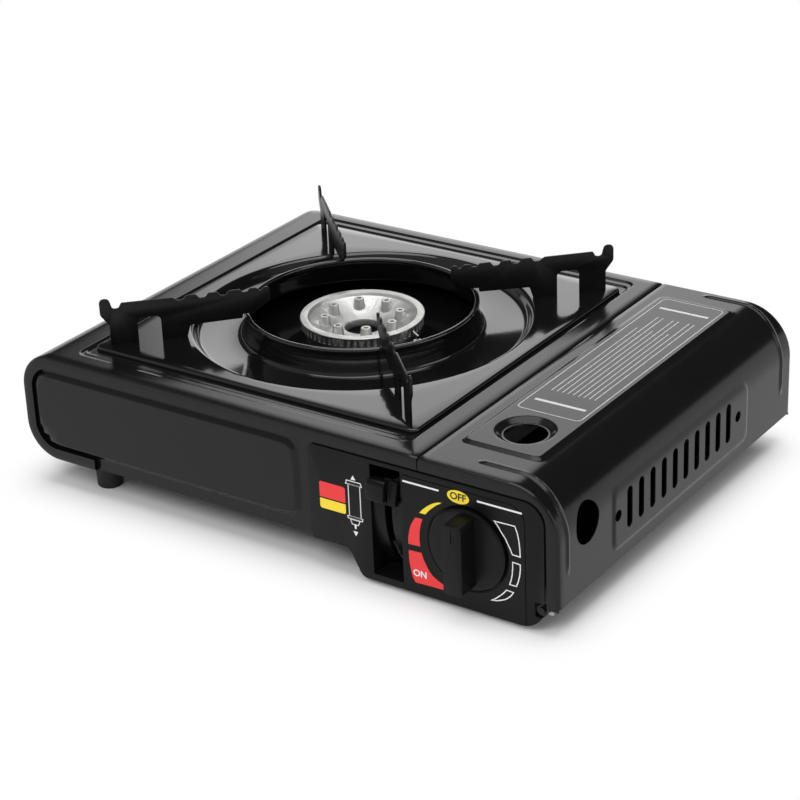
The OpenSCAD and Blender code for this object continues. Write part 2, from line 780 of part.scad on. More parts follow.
module electrode_bracket() {
    color(steel) place() difference() {
        union() {
            block([electrode_x - 5, electrode_y - 7, 60.02], [electrode_x + 5, electrode_y + 7, 60.85]);
            block([electrode_x - 5, electrode_y - 7, 60.02], [electrode_x + 5, electrode_y - 6.2, 66]);
        }
        translate([electrode_x, electrode_y, 40]) cylinder(h = 60, r = 2.45);
    }
}

lead_y = 36;
lead_z = 64;
lead_r = 1;
piezo_x = seam_x + 8;

// Points along the igniter lead, from the electrode to the piezo unit.
lead_path = [
    [electrode_x, electrode_y, 50], [electrode_x, electrode_y, 47], [electrode_x, lead_y, 47],
    [electrode_x, lead_y, lead_z], [piezo_x - 2.6, lead_y, lead_z]
];

// A round bar from one point to another.
module bar(from, to, r) {
    span = to - from;
    translate(from) rotate([0, acos(span.z / norm(span)), atan2(span.y, span.x)]) cylinder(h = norm(span), r = r);
}

module igniter_lead() {
    color("#26262a") place() for (i = [0:len(lead_path) - 2]) {
        bar(lead_path[i], lead_path[i + 1], lead_r);
        if (i > 0) {
            translate(lead_path[i]) sphere(lead_r + 0.02);
        }
    }
}

module piezo_igniter() {
    color("#2a2a2c") place() {
        along_y(piezo_x, bracket_y + sheet, lead_z, 4, 22);
        along_y(piezo_x, bracket_y + sheet + 21.9, lead_z, 2.6, 38 - bracket_y - sheet - 21.9);
    }
}

// ---------------------------------------------------------------- controls

fascia_right = body_w - flange_w - 0.7;
fascia_y = -1;

// Outline of the fascia, with the tab that steps down to the canister bay.
function fascia_path(g) = [
    [fascia_x + g, base_z + 1 + g, 2], [slot_x - 15, base_z + 1 + g, 5], [slot_x - 7, bay_z + g, 5],
    [fascia_right - g, bay_z + g, 14 - g], [fascia_right - g, fascia_top - g, 12 - g], [fascia_x + g, fascia_top - g, 4]
];

module fascia_solid() {
    difference() {
        union() {
            upright(fascia_y, fascia_t) polygon(rounded(fascia_path(0), 8));
            // rim of the right-hand part, back to the bracket
            upright(fascia_y, bracket_y - 0.1 - fascia_y) intersection() {
                polygon(rounded(fascia_path(0), 8));
                translate([slot_x + slot_gap_w, bay_z - 1]) square([body_w, top_z]);
            }
        }
        upright(fascia_y + fascia_t, bracket_y + 3) intersection() {
            polygon(rounded(fascia_path(2.2), 8));
            translate([slot_x + slot_gap_w + 2, bay_z - 1]) square([body_w, top_z]);
        }
    }
}

module control_fascia() {
    color(plastic) place() {
        difference() {
            union() {
                fascia_solid();
                // box round the lever slot
                block([slot_x - 2, fascia_y + fascia_t / 2, bay_z + 2], [slot_x + slot_gap_w + 2, 16, fascia_top - 0.6]);
            }
            block([slot_x, fascia_y - 1, bay_z + 4], [slot_x + slot_gap_w, 20, fascia_top - 2.2]);
            // ring recess round the knob
            along_y(knob_x, fascia_y - 1, knob_z, knob_r + 1.2, 2);
            along_y(knob_x, fascia_y - 1, knob_z, spindle_r + 1.2, 20);
            // notch for the hinge
            block([hinge_x - 3.7, fascia_y - 1, hinge_z - 4], [body_w, bracket_y + 1, hinge_z + 4]);
            // screw pillars are hollow from behind
            for (p = fascia_screw_spots()) {
                along_y(p.x, fascia_y + fascia_t + 1, p.y, 1.5, 20);
            }
        }
        // two curved rails either side of the lever's stem
        for (x = [slot_x - 0.5, slot_mid_x + 2.2]) {
            intersection() {
                difference() {
                    along_x(x, pivot_y, pivot_z, rail_r, slot_gap_w / 2 - 1.7);
                    along_x(x - 1, pivot_y, pivot_z, rail_r - 2.4, slot_gap_w);
                }
                block([slot_x - 1, 0, bay_z + 3], [slot_x + slot_gap_w + 1, 16, pivot_z + 8]);
            }
        }
        difference() {
            for (p = fascia_screw_spots()) {
                along_y(p.x, fascia_y + fascia_t - 0.2, p.y, 3.6, bracket_y - 0.1 - fascia_y - fascia_t + 0.2);
            }
            for (p = fascia_screw_spots()) {
                along_y(p.x, fascia_y + fascia_t + 1, p.y, 1.5, 20);
            }
        }
    }
}

// Places of the screws that hold the fascia to the bracket, as [x, z].
function fascia_screw_spots() = [
    [seam_x + 3, bay_z + 10], [fascia_right - 12, fascia_top - 9],
    [seam_x + 3, fascia_top - 20], [fascia_right - 20, bay_z + 9]
];

module fascia_screws() {
    color(steel) place() for (p = fascia_screw_spots()) {
        along_y(p.x, bracket_y - 5, p.y, 1.45, 5 + sheet + 0.1);
        along_y(p.x, bracket_y + sheet, p.y, 3, 1.6);
    }
}

module control_bracket() {
    color(steel) place() difference() {
        union() {
            block([slot_x + slot_gap_w + 3, bracket_y, bay_z + 4], [fascia_right - 1, bracket_y + sheet, fascia_top - 3]);
            block([hinge_x - 5, bracket_y, hinge_z - 4], [hinge_x + 3.4, bracket_y + sheet, hinge_z + 4]);
            // foot on the bay floor
            block(
                [seam_x + 2, bracket_y, bay_z + sheet + 0.05],
                [tray_wall_x - tray_r, bracket_y + 12, bay_z + 2 * sheet + 0.05]
            );
            block(
                [seam_x + 2, bracket_y, bay_z + sheet + 0.05],
                [tray_wall_x - tray_r, bracket_y + sheet, bay_z + 6]
            );
        }
        along_y(knob_x, bracket_y - 1, knob_z, 9.05, 4);
        along_y(hinge_x, bracket_y - 1, hinge_z, hinge_r + 0.03, 4);
        for (p = fascia_screw_spots()) {
            along_y(p.x, bracket_y - 1, p.y, 1.5, 4);
        }
        block([slot_x - 5, bracket_y - 1, 0], [slot_x + slot_gap_w + 2.4, bracket_y + 3, top_z]);
    }
}

grip_l = 2 * (knob_r - 3);

module control_knob() {
    color(plastic) place() translate([knob_x, 0, knob_z]) difference() {
        union() {
            translate([0, -0.2, 0]) rotate([90, 0, 0]) cylinder(h = 2.4, r = knob_r);
            translate([0, -2.5, 0]) rotate([90, 0, 0]) cylinder(h = 0.9, r1 = knob_r, r2 = knob_r - 0.9);
            // grip bar with round ends
            upright(-knob_reach, knob_reach - 3) intersection() {
                circle(knob_r - 2);
                round_rect(-grip_w / 2, -grip_l / 2, grip_w, grip_l, 2);
            }
        }
        translate([0, 1, 0]) rotate([90, 0, 0]) cylinder(h = 9, r = spindle_r + 0.02);
        // pointer groove near the top of the grip
        block([-0.5, -knob_reach - 1, grip_l / 2 - 9], [0.5, -knob_reach + 0.4, grip_l / 2 - 2]);
    }
}

module valve_spindle() {
    color(brass) place() difference() {
        along_y(knob_x, -7.8, knob_z, spindle_r, 28.6);
        block([knob_x + 1.8, -8, knob_z - 5], [knob_x + 5, -1, knob_z + 5]);
    }
}

governor_x = knob_x - 17;
governor_y = bracket_y + sheet + 0.1;

module governor_body() {
    color(zinc) place() difference() {
        union() {
            block([governor_x, governor_y + 4, knob_z - 13], [canister_x + 10, governor_y + 28, knob_z + 16]);
            along_y(knob_x, bracket_y - 1, knob_z, 9, governor_y + 6 - bracket_y);
            along_y(knob_x, governor_y, knob_z, 12, 5);
            // foot that carries the body on the bay floor
            block([knob_x - 8, governor_y + 8, bay_z + 2 * sheet + 0.1], [knob_x + 8, governor_y + 20, knob_z - 12]);
        }
        along_y(knob_x, -5, knob_z, spindle_r + run_gap, governor_y + 16);
        along_x(governor_x - 1, 27, tube_z, 1.2, 12);
        along_y(canister_x, governor_y + 20, canister_z, 3.55, 20);
        for (a = [30:120:270]) {
            translate([knob_x + 9.4 * cos(a), governor_y + 16 + 9.4 * sin(a), knob_z + 10]) cylinder(h = 12, r = 1.25);
        }
    }
}

module diaphragm_cover() {
    color(steel) place() difference() {
        union() {
            translate([knob_x, governor_y + 16, knob_z + 16]) cylinder(h = 1.6, r = 12);
            translate([knob_x, governor_y + 16, knob_z + 16]) cylinder(h = 7, r1 = 6.6, r2 = 5.6);
        }
        for (a = [30:120:270]) {
            translate([knob_x + 9.4 * cos(a), governor_y + 16 + 9.4 * sin(a), knob_z]) cylinder(h = 40, r = 1.25);
        }
    }
}

module governor_screws() {
    color(steel) place() for (a = [30:120:270]) {
        translate([knob_x + 9.4 * cos(a), governor_y + 16 + 9.4 * sin(a), knob_z + 11]) {
            cylinder(h = 6.7, r = 1.2);
            translate([0, 0, 6.6]) cylinder(h = 1.6, r = 2.4);
        }
    }
}

socket_y = governor_y + 28;

module canister_socket() {
    color(steel) place() difference() {
        union() {
            along_y(canister_x, socket_y, canister_z, 17, 2);
            along_y(canister_x, socket_y, canister_z, 15, 9);
            // key that fits the canister's notch
            block([canister_x - 2, socket_y, canister_z + 12], [canister_x + 2, socket_y + 12, canister_z + 14.6]);
        }
        along_y(canister_x, socket_y + 2, canister_z, 12.4, 20);
        along_y(canister_x, socket_y - 1, canister_z, 3.55, 10);
        block([canister_x - 6, socket_y + 2, canister_z - 20], [canister_x + 6, socket_y + 20, canister_z]);
    }
}

module socket_inlet() {
    color(brass) place() difference() {
        union() {
            along_y(canister_x, socket_y - 6, canister_z, 3.5, 10);
            along_y(canister_x, socket_y + 2.05, canister_z, 5.5, 2.5);
        }
        along_y(canister_x, socket_y - 7, canister_z, 1, 14);
    }
}

// ---------------------------------------------------------------- lever and cradle

hub_r = 6;

module lock_lever() {
    color(plastic) place() translate([slot_mid_x, pivot_y, pivot_z]) rotate([-lever_rest, 0, 0]) difference() {
        union() {
            translate([-1.6, 0, 0]) rotate([0, 90, 0]) cylinder(h = 3.2, r = hub_r);
            block([-1.6, -tab_in - 1, -4], [1.6, -hub_r + 2, 4]);
            upright_tab();
        }
        translate([-5, 0, 0]) rotate([0, 90, 0]) cylinder(h = 10, r = 3.02);
    }
}

// The finger tab, a block with rounded front edges.
module upright_tab() {
    translate([-tab_w / 2, 0, 0]) rotate([90, 0, 90]) linear_extrude(tab_w)
        polygon(rounded([
            [-tab_in, -6.5, 0.6], [-tab_in, 6.5, 0.6], [-tab_out + 1, 6.5, 2], [-tab_out, 4, 2],
            [-tab_out + 1.4, -6.5, 2]
        ], 4));
}

shaft_from = slot_mid_x - 7;

module lever_shaft() {
    color(steel) place() along_x(shaft_from, pivot_y, pivot_z, 3, seam_x + 3 - shaft_from);
}

module lever_bracket() {
    color(steel) place() difference() {
        union() {
            for (x = [slot_mid_x - 6.3, slot_mid_x + 4.7]) {
                block([x, pivot_y - 8, floor_z], [x + 1.6, pivot_y + 8, pivot_z + 6]);
            }
            block([slot_mid_x - 6.3, pivot_y - 8, floor_z], [slot_mid_x + 6.3, pivot_y + 8, floor_z + 1.5]);
        }
        along_x(shaft_from - 5, pivot_y, pivot_z, 3 + run_gap, 30);
    }
}

module cradle_crank() {
    color(steel) place() difference() {
        union() {
            along_x(seam_x + 0.4, pivot_y, pivot_z, hub_r, 2.5);
            block(
                [seam_x + 0.4, pivot_y - 3, pivot_z + 2],
                [seam_x + 2.9, pivot_y + 3, bar_z]
            );
            along_x(seam_x + 0.4, pivot_y, bar_z, 3, 2.5);
            along_x(seam_x + 0.4, pivot_y, bar_z, 1.5, 5.2);
        }
        along_x(seam_x - 1, pivot_y, pivot_z, 3.02, 6);
    }
}

module cradle_pull_bar() {
    color(steel) place() difference() {
        block([bar_x, pivot_y - 8, bar_z - 5], [bar_x + 1.5, stop_y + 1.2, bar_z + 5]);
        // slot for the crank's pin, tall enough for its arc
        block([bar_x - 1, pivot_y - 1.85, bar_z - 4.2], [bar_x + 3, pivot_y + 1.85, bar_z + 2]);
    }
}

cradle_r = canister_r + 0.6;

module canister_cradle() {
    color(steel) place() {
        // saddle under the rear of the canister
        difference() {
            along_y(canister_x, stop_y - cradle_l, canister_z, cradle_r + 1.2, cradle_l + 0.6);
            along_y(canister_x, stop_y - cradle_l - 1, canister_z, cradle_r, cradle_l + 3);
            block(
                [canister_x - 50, stop_y - cradle_l - 1, canister_z - 18],
                [canister_x + 50, stop_y + 5, canister_z + 50]
            );
        }
        // stop plate behind the canister, with the ear that meets the pull bar
        difference() {
            union() {
                along_y(canister_x, stop_y, canister_z, cradle_r - 3, 1.2);
                along_y(canister_x, stop_y, canister_z, cradle_r + 1.2, 1.2);
                block([bar_x + 1.5, stop_y, bar_z - 5], [canister_x - 10, stop_y + 1.2, bar_z + 5]);
            }
            block(
                [canister_x + 8, stop_y - 1, canister_z - 10],
                [canister_x + 50, stop_y + 3, canister_z + 50]
            );
        }
    }
}

module cradle_guides() {
    rail_x = 13;
    rail_top = canister_z - sqrt(pow(cradle_r + 1.2, 2) - pow(rail_x - 1.5, 2)) - 0.3;
    color(steel) place() for (side = [-1, 1]) {
        block(
            [canister_x + side * rail_x - 1.5, stop_y - cradle_l - 10, bay_z + sheet + 0.02],
            [canister_x + side * rail_x + 1.5, body_d - foot_in - 6.5, rail_top]
        );
    }
}

module front_saddle() {
    color(steel) place() difference() {
        union() {
            along_y(canister_x, socket_y + 24, canister_z, cradle_r + 1.2, 14);
            block(
                [canister_x - 12, socket_y + 24, bay_z + sheet + 0.02],
                [canister_x + 12, socket_y + 38, canister_z - cradle_r + 2]
            );
        }
        along_y(canister_x, socket_y + 20, canister_z, cradle_r, 30);
        block(
            [canister_x - 50, socket_y + 20, canister_z - 22],
            [canister_x + 50, socket_y + 50, canister_z + 50]
        );
    }
}

// ---------------------------------------------------------------- feet and base screws

// Places of the feet: two tall ones on the left, two low ones under the bay.
function foot_spots() = [
    [42, foot_in], [42, body_d - foot_in], [seam_x + 30, foot_in + 26], [seam_x + 30, body_d - foot_in]
];

module foot(i) {
    height = i < 2 ? base_z : bay_z;
    color("#131313") place() translate([foot_spots()[i].x, foot_spots()[i].y, 0]) difference() {
        rotate_extrude() polygon(rounded([
            [0, 0, 0], [foot_r - 0.8, 0, min(1.2, height / 3)], [foot_r, height - 0.02, 0], [0, height - 0.02, 0]
        ], 4));
        translate([0, 0, 1.2]) cylinder(h = 30, r = 2.05);
    }
}

module foot_front_left() {
    foot(0);
}

module foot_rear_left() {
    foot(1);
}

module foot_front_right() {
    foot(2);
}

module foot_rear_right() {
    foot(3);
}

module base_screws() {
    color(steel) place() for (i = [0:3]) {
        top = i < 2 ? floor_z + sheet : bay_z + sheet;
        translate([foot_spots()[i].x, foot_spots()[i].y, 0]) {
            translate([0, 0, 1.25]) cylinder(h = top - 1.2, r = 1.95);
            translate([0, 0, top + 0.03]) cylinder(h = 0.9, r = 3.5);
        }
    }
}

casing_shell();
front_panel();
bottom_tray();
partition_wall();
burner_well();
shell_rivets();
canister_lid();
hinge_pin_front();
hinge_pin_rear();
drip_pan();
pan_support_front_left();
pan_support_front_right();
pan_support_rear_left();
pan_support_rear_right();
burner_base();
flame_ring();
burner_head();
mixing_tube();
air_shutter();
gas_nozzle();
gas_tube();
burner_screws();
electrode_insulator();
electrode_tip();
electrode_bracket();
igniter_lead();
piezo_igniter();
control_fascia();
fascia_screws();
control_bracket();
control_knob();
valve_spindle();
governor_body();
diaphragm_cover();
governor_screws();
canister_socket();
socket_inlet();
lock_lever();
lever_shaft();
lever_bracket();
cradle_crank();
cradle_pull_bar();
canister_cradle();
cradle_guides();
front_saddle();
foot_front_left();
foot_rear_left();
foot_front_right();
foot_rear_right();
base_screws();
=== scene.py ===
"""Looks of the portable gas stove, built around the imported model.

Lengths in the making code are millimetres in the casing's own corner frame: x from the left wall,
y from the front flange, z from the table. place() turns them into metres of the shared frame.
"""

import math

import bmesh
import bpy
from mathutils import Matrix, Vector


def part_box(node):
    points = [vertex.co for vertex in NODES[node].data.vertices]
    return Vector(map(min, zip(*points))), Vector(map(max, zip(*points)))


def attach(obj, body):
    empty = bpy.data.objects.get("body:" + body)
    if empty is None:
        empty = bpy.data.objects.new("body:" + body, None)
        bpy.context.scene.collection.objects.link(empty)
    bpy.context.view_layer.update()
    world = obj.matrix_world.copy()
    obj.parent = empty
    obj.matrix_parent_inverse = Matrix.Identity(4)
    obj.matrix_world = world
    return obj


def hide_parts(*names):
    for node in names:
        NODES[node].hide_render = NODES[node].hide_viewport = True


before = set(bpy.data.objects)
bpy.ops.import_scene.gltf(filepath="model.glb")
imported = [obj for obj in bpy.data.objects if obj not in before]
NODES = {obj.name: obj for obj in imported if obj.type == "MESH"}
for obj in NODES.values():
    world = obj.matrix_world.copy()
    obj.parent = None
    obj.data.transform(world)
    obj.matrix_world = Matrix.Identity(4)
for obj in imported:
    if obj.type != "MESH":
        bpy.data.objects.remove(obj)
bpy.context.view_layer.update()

# ------------------------------------------------------------------ places taken from the frame

MM = 0.001


def node_box(name):
    """Lowest and highest corner of a node, in the casing's millimetres."""
    low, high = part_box(name)
    return (low - CORNER) / MM, (high - CORNER) / MM


shell_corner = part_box("casing_shell")[0]
CORNER = Vector((shell_corner.x, shell_corner.y, 0.0))
SHELL_LOW, SHELL_HIGH = node_box("casing_shell")
WRAP_Z = SHELL_LOW.z
TOP = SHELL_HIGH.z
DEPTH = SHELL_HIGH.y
SEAM = SHELL_HIGH.x
LID_LOW = node_box("canister_lid")[0]
LID_LEFT = LID_LOW.x
PAN_LOW, PAN_HIGH = node_box("drip_pan")
PAN_X = (PAN_LOW.x + PAN_HIGH.x) / 2
PAN_Y = (PAN_LOW.y + PAN_HIGH.y) / 2
PAN_HALF = (PAN_HIGH.x - PAN_LOW.x) / 2
RING_TOP = PAN_HIGH.z
KNOB_LOW, KNOB_HIGH = node_box("control_knob")
KNOB_X = (KNOB_LOW.x + KNOB_HIGH.x) / 2
KNOB_Z = (KNOB_LOW.z + KNOB_HIGH.z) / 2
FASCIA_LOW, FASCIA_HIGH = node_box("control_fascia")
PANEL_LOW = node_box("front_panel")[0]

# Sizes that no box in the frame gives.
SHEET = 0.8
CORNER_R = 21.0
FLANGE = 7.0
WRAP_W = 48.0  # how far the shell turns under its left edge
HALF_SEAM_GAP = 0.3
LID_W = 81.0
BODY_W = SEAM + HALF_SEAM_GAP + LID_W
LID_R = 28.0
EDGE_R = 1.8  # bend between a skin and its flanges
PAN_TOP = TOP + 0.8


def place(x, y, z):
    """A point of the shared frame, in metres, from the casing's millimetres."""
    return Vector((x * MM, y * MM, z * MM)) + CORNER


# ------------------------------------------------------------------ camera

# Fitted to corners and long edges of the photograph.
CAMERA_AT = place(852.449, -850.598, 605.096)
LENS = 105.755
AZIMUTH, ELEVATION, ROLL = math.radians(35.06), math.radians(25.48), math.radians(-2.38)

camera_data = bpy.data.cameras.new("photo_camera")
camera = bpy.data.objects.new("photo_camera", camera_data)
bpy.context.collection.objects.link(camera)
camera_data.sensor_width = 36.0
camera_data.lens = LENS
camera_data.clip_end = 50.0
look = Vector((-math.sin(AZIMUTH) * math.cos(ELEVATION), math.cos(AZIMUTH) * math.cos(ELEVATION),
               -math.sin(ELEVATION)))
flat_right = look.cross(Vector((0, 0, 1))).normalized()
flat_up = flat_right.cross(look)
right = flat_right * math.cos(ROLL) + flat_up * math.sin(ROLL)
up = right.cross(look)
turn = Matrix((right, up, -look)).transposed()
camera.matrix_world = Matrix.Translation(CAMERA_AT) @ turn.to_4x4()
bpy.context.scene.camera = camera
bpy.context.scene.view_settings.view_transform = "Standard"


# ------------------------------------------------------------------ materials


def new_material(name):
    material = bpy.data.materials.new(name)
    material.use_nodes = True
    return material, material.node_tree.nodes, material.node_tree.links


def surface(name, color, rough, bump, tint, metallic=0.0, specular=0.5, coat=0.0,
            rough_spread=0.06, rough_scale=60.0, bump_scale=900.0, tint_scale=30.0):
    """A principled surface whose roughness, tint and fine relief vary over the object."""
    material, nodes, links = new_material(name)
    shader = nodes["Principled BSDF"]
    shader.inputs["Base Color"].default_value = (*color, 1.0)
    shader.inputs["Metallic"].default_value = metallic
    shader.inputs["Specular IOR Level"].default_value = specular
    shader.inputs["Coat Weight"].default_value = coat
    shader.inputs["Coat Roughness"].default_value = 0.05
    where = nodes.new("ShaderNodeTexCoord")
    patches = nodes.new("ShaderNodeTexNoise")
    patches.inputs["Scale"].default_value = rough_scale
    patches.inputs["Detail"].default_value = 4.0
    links.new(where.outputs["Object"], patches.inputs["Vector"])
    spread = nodes.new("ShaderNodeMapRange")
    spread.inputs["To Min"].default_value = max(0.02, rough - rough_spread)
    spread.inputs["To Max"].default_value = min(1.0, rough + rough_spread)
    links.new(patches.outputs["Fac"], spread.inputs["Value"])
    links.new(spread.outputs["Result"], shader.inputs["Roughness"])
    shade = nodes.new("ShaderNodeTexNoise")
    shade.inputs["Scale"].default_value = tint_scale
    shade.inputs["Detail"].default_value = 5.0
    links.new(where.outputs["Object"], shade.inputs["Vector"])
    mix = nodes.new("ShaderNodeMix")
    mix.data_type = "RGBA"
    mix.inputs["A"].default_value = (*[c * (1 - tint) for c in color], 1.0)
    mix.inputs["B"].default_value = (*[min(1.0, c * (1 + tint)) for c in color], 1.0)
    links.new(shade.outputs["Fac"], mix.inputs["Factor"])
    links.new(mix.outputs["Result"], shader.inputs["Base Color"])
    grain = nodes.new("ShaderNodeTexNoise")
    grain.inputs["Scale"].default_value = bump_scale
    grain.inputs["Detail"].default_value = 3.0
    links.new(where.outputs["Object"], grain.inputs["Vector"])
    relief = nodes.new("ShaderNodeBump")
    relief.inputs["Strength"].default_value = bump
    relief.inputs["Distance"].default_value = 0.0005
    links.new(grain.outputs["Fac"], relief.inputs["Height"])
    links.new(relief.outputs["Normal"], shader.inputs["Normal"])
    return material


PAINT = surface("black_paint", (0.0055, 0.0055, 0.006), 0.16, specular=0.25, rough_spread=0.03, bump=0.05,
                bump_scale=1400.0, tint=0.15)
ENAMEL = surface("black_enamel", (0.004, 0.004, 0.0042), 0.10, specular=0.55, rough_spread=0.03, rough_scale=40.0,
                 bump=0.03, bump_scale=260.0, tint=0.1)
HEAT_PAINT = surface("matt_heat_paint", (0.0045, 0.0045, 0.0046), 0.36, specular=0.25, rough_spread=0.08, bump=0.12,
                     bump_scale=2600.0, tint=0.2)
PLASTIC = surface("black_plastic", (0.0042, 0.0042, 0.004), 0.3, specular=0.15, rough_spread=0.05, bump=0.10,
                  bump_scale=3200.0, tint=0.12)
KNOB_PLASTIC = surface("knob_plastic", (0.0036, 0.0036, 0.0036), 0.3, specular=0.16, rough_spread=0.05, bump=0.08,
                       bump_scale=3200.0, tint=0.12)
RIM_METAL = surface("burner_metal", (0.62, 0.62, 0.61), 0.46, metallic=1.0, rough_spread=0.10, rough_scale=160.0,
                    bump=0.35, bump_scale=700.0, tint=0.14, tint_scale=120.0)
SLOT_METAL = surface("flame_ring_metal", (0.50, 0.50, 0.49), 0.45, metallic=1.0, rough_spread=0.10, rough_scale=160.0,
                     bump=0.35, bump_scale=700.0, tint=0.2, tint_scale=120.0)
CAST = surface("cast_zinc", (0.36, 0.36, 0.37), 0.5, metallic=1.0, rough_spread=0.12, bump=0.4, bump_scale=900.0,
               tint=0.15)
PLATED = surface("zinc_plate", (0.52, 0.53, 0.55), 0.32, metallic=1.0, rough_spread=0.10, bump=0.06, bump_scale=1200.0,
                 tint=0.10)
BRASS = surface("turned_brass", (0.62, 0.44, 0.17), 0.28, metallic=1.0, rough_spread=0.08, bump=0.05, tint=0.12)
COPPER = surface("drawn_copper", (0.62, 0.31, 0.19), 0.3, metallic=1.0, rough_spread=0.10, bump=0.05, tint=0.2)
CERAMIC = surface("glazed_ceramic", (0.72, 0.70, 0.63), 0.16, coat=0.4, rough_spread=0.04, bump=0.03, tint=0.06)
WIRE = surface("wire_cover", (0.02, 0.02, 0.024), 0.5, specular=0.4, bump=0.05, tint=0.1)
RUBBER = surface("foot_rubber", (0.010, 0.010, 0.010), 0.62, specular=0.35, rough_spread=0.08, bump=0.2, tint=0.2)
WHITE_INK = surface("white_ink", (0.78, 0.78, 0.77), 0.42, specular=0.4, rough_spread=0.05, bump=0.04, tint=0.04)
YELLOW_INK = surface("yellow_ink", (0.90, 0.68, 0.03), 0.4, specular=0.4, rough_spread=0.05, bump=0.04, tint=0.05)
RED_INK = surface("red_ink", (0.80, 0.032, 0.036), 0.4, specular=0.4, rough_spread=0.05, bump=0.04, tint=0.05)
LABEL_INK = surface("label_ink", (0.56, 0.56, 0.56), 0.45, specular=0.4, rough_spread=0.05, bump=0.04, tint=0.04)
BLACK_INK = surface("black_ink", (0.008, 0.008, 0.008), 0.4, specular=0.4, rough_spread=0.05, bump=0.04, tint=0.05)

NODE_MATERIALS = {
    PAINT: ["casing_shell", "front_panel", "bottom_tray", "partition_wall", "canister_lid", "hinge_pin_front",
            "hinge_pin_rear"],
    ENAMEL: ["drip_pan", "burner_well"],
    HEAT_PAINT: [n for n in NODES if n.startswith("pan_support")],
    RIM_METAL: ["burner_head"],
    SLOT_METAL: ["flame_ring"],
    CAST: ["burner_base", "mixing_tube", "governor_body"],
    BRASS: ["gas_nozzle", "socket_inlet", "valve_spindle"],
    COPPER: ["gas_tube"],
    CERAMIC: ["electrode_insulator"],
    WIRE: ["igniter_lead", "piezo_igniter"],
    PLASTIC: ["control_fascia", "lock_lever"],
    KNOB_PLASTIC: ["control_knob"],
    RUBBER: [n for n in NODES if n.startswith("foot_")],
}
material_of = {name: material for material, names in NODE_MATERIALS.items() for name in names}
for name, node in NODES.items():
    wanted = material_of.get(name, PLATED)
    node.data.materials.clear()
    node.data.materials.append(wanted)


# ------------------------------------------------------------------ mesh helpers


def soften(mesh, degrees=32.0):
    """Smooth shading, with edges sharper than the given angle kept sharp."""
    mesh.shade_smooth()
    mesh.set_sharp_from_angle(angle=math.radians(degrees))


def add_object(name, mesh, material):
    mesh.materials.clear()
    mesh.materials.append(material)
    piece = bpy.data.objects.new(name, mesh)
    bpy.context.collection.objects.link(piece)
    return piece


def bake(piece, degrees=32.0):
    """Applies a piece's modifiers and softens the result."""
    graph = bpy.context.evaluated_depsgraph_get()
    mesh = bpy.data.meshes.new_from_object(piece.evaluated_get(graph))
    old = piece.data
    piece.modifiers.clear()
    piece.data = mesh
    bpy.data.meshes.remove(old)
    soften(mesh, degrees)


def thicken(piece, thickness, offset, degrees=30.0):
    """Gives a sheet its thickness in millimetres, to the side that offset says, and softens it."""
    solid = piece.modifiers.new("sheet", "SOLIDIFY")
    solid.thickness = thickness * MM
    solid.offset = offset
    bake(piece, degrees)


def grid_mesh(name, rows):
    """A mesh from rows of points, all of one length."""
    mesh = bpy.data.meshes.new(name)
    wide = len(rows[0])
    points = [p for row in rows for p in row]
    faces = []
    for i in range(len(rows) - 1):
        for j in range(wide - 1):
            a = i * wide + j
            faces.append((a, a + 1, a + 1 + wide, a + wide))
    mesh.from_pydata(points, [], faces)
    mesh.update()
    return mesh


def flat_solid(name, corners, thick, material):
    """A flat piece standing on edge: a face through the corners, thickened to the rear."""
    shape = bmesh.new()
    face = shape.faces.new([shape.verts.new(corner) for corner in corners])
    made = bmesh.ops.extrude_face_region(shape, geom=[face])
    moved = [v for v in made["geom"] if isinstance(v, bmesh.types.BMVert)]
    bmesh.ops.translate(shape, verts=moved, vec=(0, thick * MM, 0))
    bmesh.ops.recalc_face_normals(shape, faces=shape.faces)
    mesh = bpy.data.meshes.new(name)
    shape.to_mesh(mesh)
    shape.free()
    return add_object(name, mesh, material)


MIN_STEP = 0.12  # stations closer together than this are joined


def lines(low, high, step, fine=(), fine_step=0.5):
    """Sorted stations from low to high, closer inside each (from, to) of fine."""
    stations = [low, high]
    count = max(1, round((high - low) / step))
    stations += [low + (high - low) * i / count for i in range(count + 1)]
    for a, b in fine:
        a, b = max(a, low), min(b, high)
        if b <= a:
            continue
        count = max(1, round((b - a) / fine_step))
        stations += [a + (b - a) * i / count for i in range(count + 1)]
    kept = []
    for s in sorted(stations):
        if not kept or s - kept[-1] > MIN_STEP:
            kept.append(s)
    kept[-1] = high
    return kept


def smooth(t):
    """A soft step from 0 to 1 as t goes from 0 to 1."""
    t = min(1.0, max(0.0, t))
    return t * t * (3.0 - 2.0 * t)


def inside_rect(x, y, low_x, low_y, high_x, high_y, r):
    """How far a point is inside a rectangle with round corners; negative outside."""
    cx, cy = (low_x + high_x) / 2, (low_y + high_y) / 2
    dx, dy = abs(x - cx) - (high_x - low_x) / 2 + r, abs(y - cy) - (high_y - low_y) / 2 + r
    return r - math.hypot(max(dx, 0.0), max(dy, 0.0)) - min(max(dx, dy), 0.0)


def block_cutter(matrix, low, high):
    """A box to cut with, given by two corners in millimetres in the matrix's own frame."""
    size = [(h - l) * MM for l, h in zip(low, high)]
    middle = Vector([(h + l) / 2 * MM for l, h in zip(low, high)])
    return matrix @ Matrix.Translation(middle) @ Matrix.Diagonal((*size, 1.0)), None, 0.0, 0.0


